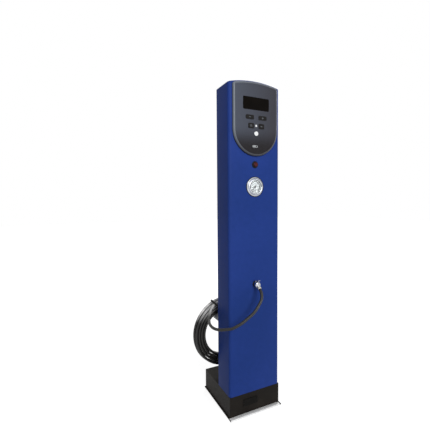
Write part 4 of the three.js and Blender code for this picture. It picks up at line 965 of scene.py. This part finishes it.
makeKeyMarks(keyPrint)
statusEye = {
    "across": 0.006,
    "profile": [(0, -0.0003), (0.0031, -0.0003), (0.0031, 0.0004), (0.0024, 0.0008), (0, 0.0010)],
}


def makeStatusEye(values):
    across, rise = panel["status"][2:]
    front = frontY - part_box("status_lens")[0].y
    profile = [(radius, front + z) for radius, z in values["profile"]]
    matrix = frontMatrix(panelCentreZ + rise, across + values["across"])
    addTurned("statusEye", profile, matrix, "blackKey", sides=32)


makeStatusEye(statusEye)
print("control panel made")

switch = {
    "bezel": 0.029,
    "barrel": 0.022,
    "button": 0.018,
    "bezelProud": 0.005,
    "buttonProud": 0.004,
    "stem": 0.004,  # radius of the button's stem
    "stemEnd": -0.020,
    "skirt": -0.008,
}


def makeSwitch(values):
    radius, barrel, outer = (values[key] / 2 for key in ("button", "barrel", "bezel"))
    bore, proud = radius + gap, values["bezelProud"]
    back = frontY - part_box("switch_bezel")[1].y
    bezel = [(bore, back), (barrel, back), (barrel, gap), (outer, gap), (outer, gap + 0.0022),
             (outer - 0.0003, gap + 0.0028), (outer - 0.0022, proud - 0.0002), (outer - 0.0028, proud),
             (bore + 0.0010, proud), (bore + 0.0002, proud - 0.0004), (bore, proud - 0.0010), (bore, back)]
    addTurned("switchBezel", bezel, frontMatrix(switchZ), "blackMoulding", "switch_bezel")
    front = proud + values["buttonProud"]
    stem, end, skirt = values["stem"], values["stemEnd"], values["skirt"]
    cap = [(0, end), (stem, end), (stem, skirt), (radius, skirt), (radius, front - 0.0016),
           (radius - 0.0003, front - 0.0008), (radius - 0.0010, front - 0.0002), (radius - 0.0018, front),
           (radius - 0.0034, front - 0.0003), (0, front - 0.0006)]
    addTurned("switchButton", cap, frontMatrix(switchZ), "redCap", "switch_button", "switch_button")


makeSwitch(switch)
print("switch made")

gauge = {
    "flange": 0.085,
    "ring": 0.080,  # bright ring, on a black seal as wide as the flange; the seal's dark rim is partly painted shade round the gauge
    "shadeSealThickness": 0.0018,
    "case": 0.063,
    "dial": 0.057,
    "dialHole": 0.005,
    "proud": 0.0095,
    "lensBack": 0.0062,
    "lensThickness": 0.0015,
    "dialFront": 0.001,
    "zeroAngle": 225,  # from +x, anticlockwise, where the scale starts
    "sweep": 270,
    "bands": {  # shares of the sweep, then radii
        "scaleBand": (0.0, 0.72, 0.0212, 0.0228, "dialInk"),
        "scaleLimit": (0.74, 1.0, 0.0205, 0.0232, "dialBlack"),
    },
    "ticks": {"largeTicks": (13, 0.0034, 0.0006), "smallTicks": (61, 0.0018, 0.0003)},  # count, length, width
    "tickRadius": 0.0245,
    "tickHeight": 0.0003,
    "numbers": ("0", "2", "4", "6", "8", "10", "12"),
    "numberRadius": 0.0172,
    "numberSize": 0.0052,
    "printHeight": 0.0001,
}


def makeGaugeBody(values):
    outer, inner = values["ring"] / 2, values["dial"] / 2
    bore, proud = values["case"] / 2 + gap, values["proud"]
    back, glass = values["lensBack"], values["lensBack"] + values["lensThickness"]
    ring = [(bore, gap), (outer - 0.0004, gap), (outer, gap + 0.0004), (outer, gap + 0.0018),
            (outer - 0.0005, gap + 0.0025), (outer - 0.0015, gap + 0.0029), (bore + 0.0055, gap + 0.0038),
            (bore + 0.0036, gap + 0.0048), (bore + 0.0026, gap + 0.0062), (bore + 0.0016, proud - 0.0008),
            (bore + 0.0004, proud - 0.0001), (bore - 0.0008, proud), (inner + 0.0012, proud),
            (inner + 0.0003, proud - 0.0004), (inner, proud - 0.0010), (inner, glass + gap),
            (bore, glass + gap), (bore, gap)]
    inner, outer, top = outer + 0.0001, values["flange"] / 2, gap + values["shadeSealThickness"]
    # a black seal ring under the bright ring, partly painted shade round the gauge's rim
    shadeSeal = [(inner, gap), (outer, gap), (outer, top - 0.0006), (outer - 0.0002, top - 0.0002),
            (outer - 0.0006, top), (inner, top), (inner, gap)]
    edge = values["case"] / 2 - 0.0001
    lens = [(0, back), (edge, back), (edge, glass - 0.0002), (edge - 0.0002, glass), (0, glass)]
    edge, hole, top = values["case"] / 2 - 0.0016, values["dialHole"] / 2, values["dialFront"]
    face = [(hole, 0), (edge, 0), (edge, top), (hole, top), (hole, 0)]
    for name, profile, finishName, replaced in (
        ("gaugeRing", ring, "satinChrome", "gauge_flange"),
        ("gaugeShadeSeal", shadeSeal, "blackMoulding", None),
        ("gaugeGlass", lens, "clearGlass", "gauge_lens"),
        ("gaugeFace", face, "dialWhite", "gauge_dial"),
    ):
        addTurned(name, profile, frontMatrix(gaugeZ), finishName, replaced, sides=96)


def makeScaleBands(values):
    top = values["dialFront"]
    for name, (start, end, inner, outer, finishName) in values["bands"].items():
        first, last = (values["zeroAngle"] - values["sweep"] * share for share in (start, end))
        outline = arc(0, 0, outer, first, last, 60) + arc(0, 0, inner, last, first, 60)
        addPiece(name, slabMesh(name, outline, top - 0.0001, top + 0.00012, frontMatrix(gaugeZ)), finishName)


makeGaugeBody(gauge)
makeScaleBands(gauge)


# a geometry tree that takes points, named sizes and a finish, and gives a mesh
def newGrowth(name, sizes):
    inputs = {"Geometry": "Geometry", **sizes, "Finish": "Material"}
    tree, given, result = newTree(name, "GeometryNodeTree", inputs, {"Geometry": "Geometry"})
    tree.is_modifier = True
    return tree, given, result


def blockOf(tree, given):
    size = vectorOf(tree, given["Length"], given["Width"], given["Height"])
    return addNode(tree, "GeometryNodeMeshCube", {"Size": size}).outputs["Mesh"]


# puts the shape on each point, as plain geometry in the tree's finish
def spreadOut(tree, points, shape, given, result, **turn):
    inputs = {"Points": points, "Instance": shape, **turn}
    spread = addNode(tree, "GeometryNodeInstanceOnPoints", inputs).outputs[0]
    real = addNode(tree, "GeometryNodeRealizeInstances", {0: spread}).outputs[0]
    painted = addNode(tree, "GeometryNodeSetMaterial", {"Geometry": real, "Material": given["Finish"]})
    feed(tree, result["Geometry"], painted.outputs[0])


# ticks round a dial, as instances of one small block
def makeTickTree():
    sizes = {"Count": 13, "Radius": 0.02, "Length": 0.003, "Width": 0.0006, "Height": 0.0002}
    tree, given, result = newGrowth("dialTicks", {**sizes, "Start": 3.9, "Sweep": 4.7})
    index = tree.nodes.new("GeometryNodeInputIndex").outputs[0]
    share = mathOf(tree, "DIVIDE", index, mathOf(tree, "SUBTRACT", given["Count"], 1.0))
    angle = mathOf(tree, "SUBTRACT", given["Start"], productOf(tree, share, given["Sweep"]))
    x, y = (productOf(tree, mathOf(tree, way, angle), given["Radius"]) for way in ("COSINE", "SINE"))
    inputs = {"Count": given["Count"], "Position": vectorOf(tree, x, y)}
    points = addNode(tree, "GeometryNodePoints", inputs).outputs[0]
    spreadOut(tree, points, blockOf(tree, given), given, result, Rotation=vectorOf(tree, 0.0, 0.0, angle))
    return tree


# a row of equal blocks about the origin, along x
def makeRowTree():
    sizes = {"Count": 20, "Pitch": 0.01, "Length": 0.006, "Width": 0.002, "Height": 0.0004}
    tree, given, result = newGrowth("blockRow", sizes)
    half = productOf(tree, mathOf(tree, "SUBTRACT", given["Count"], 1.0), -0.5)
    start = vectorOf(tree, productOf(tree, half, given["Pitch"]))
    inputs = {"Count": given["Count"], "Start Location": start, "Offset": vectorOf(tree, given["Pitch"])}
    line = addNode(tree, "GeometryNodeMeshLine", inputs).outputs[0]
    spreadOut(tree, line, blockOf(tree, given), given, result)
    return tree


# a domed head with a cross cut into it, and its shank below, on every point of the mesh
def makeScrewTree():
    sizes = {"Head Diameter": 0.008, "Head Height": 0.0026, "Shank Diameter": 0.004, "Shank Length": 0.006}
    tree, given, result = newGrowth("panHeadScrews", sizes)
    diameter, height, length = given["Head Diameter"], given["Head Height"], given["Shank Length"]

    def moved(geometry, **changes):
        return addNode(tree, "GeometryNodeTransform", {"Geometry": geometry, **changes}).outputs[0]

    sphere = {"Segments": 24, "Rings": 12, "Radius": 1.0}
    ball = addNode(tree, "GeometryNodeMeshUVSphere", sphere).outputs["Mesh"]
    cube = tree.nodes.new("GeometryNodeMeshCube").outputs["Mesh"]
    radius = mathOf(tree, "DIVIDE", diameter, 2.0)
    armWidth, armLength, wide = (productOf(tree, diameter, share) for share in (0.13, 0.5, 2.0))
    below = vectorOf(tree, 0.0, 0.0, productOf(tree, diameter, -1.0))
    recess = vectorOf(tree, 0.0, 0.0, height)
    shape = moved(ball, Scale=vectorOf(tree, radius, radius, height))
    for tool in (moved(cube, Translation=below, Scale=vectorOf(tree, wide, wide, wide)),
                 moved(cube, Translation=recess, Scale=vectorOf(tree, armLength, armWidth, height)),
                 moved(cube, Translation=recess, Scale=vectorOf(tree, armWidth, armLength, height))):
        cut = addNode(tree, "GeometryNodeMeshBoolean", {0: shape, 1: tool}, operation="DIFFERENCE")
        shape = cut.outputs["Mesh"]
    inputs = {"Vertices": 16, "Radius": mathOf(tree, "DIVIDE", given["Shank Diameter"], 2.0), "Depth": length}
    shank = addNode(tree, "GeometryNodeMeshCylinder", inputs).outputs["Mesh"]
    sunk = moved(shank, Translation=vectorOf(tree, 0.0, 0.0, productOf(tree, length, -0.48)))
    both = addNode(tree, "GeometryNodeJoinGeometry", {0: shape})
    feed(tree, both.inputs[0], sunk)
    spreadOut(tree, given["Geometry"], both.outputs[0], given, result)
    return tree


def setInput(modifier, label, value):
    for item in modifier.node_group.interface.items_tree:
        if item.item_type == "SOCKET" and item.in_out == "INPUT" and item.name == label:
            modifier[item.identifier] = value


# runs a geometry tree on loose points and leaves the plain result at its place
def addGrown(name, tree, points, matrix, finishName, sizes):
    obj = newPiece(name, meshOf(name, points, []))
    modifier = addModifier(obj, "grow", "NODES", node_group=tree)
    for label, value in {**sizes, "Finish": finishes[finishName]}.items():
        setInput(modifier, label, value)
    settle(obj)
    obj.data.transform(matrix)
    dress(obj, finishName)


tickTree, rowTree, screwTree = makeTickTree(), makeRowTree(), makeScrewTree()


def makeTicks(values):
    matrix = frontMatrix(gaugeZ) @ Matrix.Translation((0, 0, values["dialFront"]))
    for name, (count, length, width) in values["ticks"].items():
        sizes = {"Count": count, "Radius": values["tickRadius"], "Length": length, "Width": width,
                 "Height": values["tickHeight"], "Start": math.radians(values["zeroAngle"]),
                 "Sweep": math.radians(values["sweep"])}
        addGrown(name, tickTree, [], matrix, "dialBlack", sizes)


def makeNumbers(values):
    meshes = []
    for i, words in enumerate(values["numbers"]):
        text = bpy.data.curves.new("number", "FONT")
        text.body = words
        text.size = values["numberSize"]
        text.extrude = values["printHeight"]
        text.align_x, text.align_y = "CENTER", "CENTER"
        obj = newPiece("number", text)
        bpy.context.view_layer.update()
        mesh = evaluatedMesh(obj)
        bpy.data.objects.remove(obj)
        angle = math.radians(values["zeroAngle"] - values["sweep"] * i / (len(values["numbers"]) - 1))
        radius = values["numberRadius"]
        mesh.transform(Matrix.Translation((radius * math.cos(angle), radius * math.sin(angle), 0)))
        facingOut(mesh)
        meshes.append(mesh)
    whole = joined("dialNumbers", meshes)
    whole.transform(frontMatrix(gaugeZ) @ Matrix.Translation((0, 0, values["dialFront"])))
    addPiece("dialNumbers", whole, "dialBlack")


makeTicks(gauge)
makeNumbers(gauge)
print("gauge made")

# a nosing over the foot plate's front edge, with a row of grip inserts
kickStrip = {
    "thickness": 0.0022,
    "leg": 0.0013,  # how thick its turned-down front is
    "rounding": 0.0016,
    "breaking": 0.0003,
    "lift": 0.0008,  # from the floor
    "bareEnd": 0.0085,  # of the foot plate that shows past its right end
    "inserts": {"Count": 18, "Pitch": 0.0098, "Length": 0.0062, "Width": 0.0024, "Height": 0.0004},
}


def makeKickStrip(values):
    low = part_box("kick_strip")[0]
    plateLow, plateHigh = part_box("base_plate")
    top, front = low.z + values["thickness"], plateLow.y - gap - values["leg"]
    back, inner = frontY - gap, plateLow.y - gap
    radius = values["rounding"]
    section = [(back, low.z), (back, top)] + arc(front + radius, top - radius, radius, 90, 180, 6)
    section += [(front, values["lift"]), (inner, values["lift"]), (inner, low.z)]
    sideways = Matrix(((0, 0, 1, 0), (1, 0, 0, 0), (0, 1, 0, 0), (0, 0, 0, 1)))
    mesh = slabMesh("kickStrip", section, low.x, plateHigh.x - values["bareEnd"], sideways)
    nosing = newPiece("kickStrip", mesh)
    bevel(nosing, values["breaking"], angle=50)
    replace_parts(dress(nosing, "satinStrip"), "kick_strip")
    place = Matrix.Translation((0, (back + front + radius) / 2, top))
    addGrown("gripInserts", rowTree, [], place, "gripInsert", values["inserts"])


makeKickStrip(kickStrip)
print("kick strip made")

# how far out of the sheet, (x, z) places, and as the size the head's diameter and height and the shank's
screwSets = {
    "blankScrews": {
        "matrix": frontMatrix(0),
        "out": 0.0018,
        "places": [(-0.0591, 0.0523), (0.0091, 0.0523)],
        "size": (0.0062, 0.0018, 0.004, 0.005),
        "finish": "blackMoulding",
    },
    "coverScrews": {
        "matrix": backMatrix,
        "out": 0,
        "places": [(side * 0.115, z) for z in (0.1196, 0.3048, 0.490) for side in (-1, 1)],
        "size": (0.0080, 0.0024, 0.004, 0.006),
        "finish": "brightZinc",
    },
    "hangerScrews": {
        "matrix": backMatrix,
        "out": 0.0043,
        "places": [(hose["coilX"] + across, z) for z in (0.337, 0.381) for across in (-0.024, 0.024)],
        "size": (0.0080, 0.0024, 0.004, 0.010),
        "finish": "brightZinc",
    },
}
for name, values in screwSets.items():
    upright = (values["matrix"].to_3x3() @ Vector((0, 1, 0))).z
    points = [(x, z * upright, 0) for x, z in values["places"]]
    matrix = values["matrix"] @ Matrix.Translation((0, 0, values["out"]))
    sizes = dict(zip(("Head Diameter", "Head Height", "Shank Diameter", "Shank Length"), values["size"]))
    addGrown(name, screwTree, points, matrix, values["finish"], sizes)
print("screws made:", sum(len(values["places"]) for values in screwSets.values()))

# the profiles are (radius, distance) pairs, out from the column's front or down the slanted hose end
chuck = {
    "body": 0.025,
    "end": 0.027,
    "pegRadius": 0.0041,
    "pegLength": 0.0135,
    "leverOut": 0.013,
    "earSides": (0.005, 0.007),  # across, of each ear that holds the lever
    "earHeights": (0.008, 0.018),
    "earHalf": 0.003,
    "breaking": 0.0003,
    "barb": [(0, 0), (0.0055, 0), (0.0055, 0.013), (0, 0.013)],
    "neck": [(0.0080, 0.0036), (0.0087, 0.0040), (0.0094, 0.0048), (0.0095, 0.0095), (0.0103, 0.0100),
             (0.0120, 0.0110)],
    "nose": [(0, 0.0045), (0.0006, 0.0028), (0.0020, 0.0012), (0.0045, 0.0004), (0.0080, 0.0001)],  # in, back
    "ferrule": [(0.0058, 0.0115), (0.0072, 0.0115), (0.0078, 0.0118), (0.0080, 0.0124), (0.0080, 0.0132),
                (0.0075, 0.0137), (0.0075, 0.0141), (0.0080, 0.0146), (0.0080, 0.0162), (0.0075, 0.0167),
                (0.0075, 0.0171), (0.0080, 0.0176), (0.0080, 0.0195), (0.0077, 0.0200), (0.0025, 0.0200),
                (0.0025, 0.0150), (0.0058, 0.0150), (0.0058, 0.0115)],
    "foot": [(0.0120, 0.0020), (0.0117, 0.0026), (0.0108, 0.0031), (0.0098, 0.0033)],
    "screw": (0.003, -0.007),
}


def makeChuck(values):
    matrix = frontMatrix(chuckZ)
    slant = matrix @ Matrix.Translation((0, 0, chuckElbow)) @ Matrix.Rotation(math.pi / 4, 4, "X")
    neck, foot = values["neck"], values["foot"]
    radius, end = values["body"] / 2, values["end"]
    bore, depth, mouth = values["pegRadius"] + gap, values["pegLength"] + 0.002, neck[0][1]
    profile = [(bore, mouth)] + neck + [(radius, neck[-1][1] + 0.0012)]
    profile += [(radius - across, end - back) for across, back in values["nose"]]
    profile += [(0, end), (0, depth), (bore, depth), (bore, mouth)]
    body = newPiece("chuckBody", turnedMesh("chuckBody", profile, matrix, sides=64))
    additions = [turnedMesh("barb", values["barb"], slant, sides=48)]
    out, half = values["leverOut"], values["earHalf"]
    inner, outer = values["earSides"]
    low, high = values["earHeights"]
    for left, right in ((-outer, -inner), (inner, outer)):
        outline = [(left, low), (right, low), (right, high), (left, high)]
        additions.append(slabMesh("ear", outline, out - half, out + half, matrix))
    combine(body, additions, "UNION")
    bevel(body, values["breaking"], angle=40)
    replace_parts(dress(body, "polishedChrome"), "chuck_body")
    ferrule = addTurned("chuckFerrule", values["ferrule"], slant, "nickel", "chuck_ferrule", sides=48)
    peg, length = values["pegRadius"], values["pegLength"]
    screw, screwEnd = values["screw"]
    rim, base = foot[0][0], foot[-1][1]
    profile = [(0, screwEnd), (screw, screwEnd), (screw, gap), (rim - 0.0004, gap), (rim, gap + 0.0004)]
    profile += foot + [(peg, base), (peg, length - 0.001), (peg - 0.0004, length - 0.0003)]
    profile += [(peg - 0.001, length), (0, length)]
    addTurned("chuckHolder", profile, matrix, "blackMoulding", "chuck_holder", sides=48)
    return body, ferrule


chuckBody, chuckFerrule = makeChuck(chuck)
print("chuck made")

studio = {
    "floorHalf": 12,
    "floorGrey": 0.5,
    "floorRoughness": 0.9,
    "glow": (0.6, 2.0, 0.78, 1.0),  # near and far from the object, and how bright the floor looks there
    "worldLight": 0.15,
}
lamps = {
    "keyLamp": {"place": (-0.2, -4.7, 2.6), "aim": (0, 0, 0.6), "size": 2.4, "power": 174},
    "fillLamp": {"place": (-1.75, -1.35, 2.5), "aim": (-0.1, 0, 0.3), "size": 0.8, "power": 9},
    "backLamp": {"place": (2.2, 2.0, 2.6), "aim": (0, 0, 0.6), "size": 1.6, "power": 40},
}


# 1 for rays from the camera, or that metal or glass sends on
def seenRays(tree):
    path = tree.nodes.new("ShaderNodeLightPath").outputs
    some = mathOf(tree, "ADD", path["Is Camera Ray"], path["Is Glossy Ray"], clamp=True)
    return mathOf(tree, "ADD", some, path["Is Transmission Ray"], clamp=True)


def makeFloor(values):
    half, grey = values["floorHalf"], values["floorGrey"]
    corners = [(x, y, 0) for x, y in bar(0, 0, 2 * half, 2 * half)]
    mesh = meshOf("floor", corners, [(0, 1, 2, 3)])
    floor = newPiece("floor", mesh)
    material, tree, shader = newMaterial("floorPaper")
    away = addNode(tree, "ShaderNodeVectorMath", {0: objectPlace(tree)}, operation="LENGTH").outputs["Value"]
    glow = rangeOf(tree, away, *values["glow"], smooth=True)
    feedAll(tree, shader, {"Base Color": (grey, grey, grey, 1), "Roughness": values["floorRoughness"],
                           "Emission Color": (1, 1, 1, 1),
                           "Emission Strength": productOf(tree, seenRays(tree), glow)})
    mesh.materials.append(material)


def makeWorld(level):
    world = bpy.data.worlds.new("studio")
    world.use_nodes = True
    tree = world.node_tree
    strength = rangeOf(tree, seenRays(tree), 0.0, 1.0, level, 1.0)
    feedAll(tree, tree.nodes["Background"].inputs, {"Color": (1, 1, 1, 1), "Strength": strength})
    bpy.context.scene.world = world


def makeLamps():
    for name, values in lamps.items():
        data = bpy.data.lights.new(name, "AREA")
        data.size = values["size"]
        data.energy = values["power"]
        place = Vector(values["place"])
        standAt(name, data, place, (place - Vector(values["aim"])).to_track_quat("Z", "Y").to_matrix())


makeFloor(studio)
makeWorld(studio["worldLight"])
makeLamps()
print("stage and lamps made")
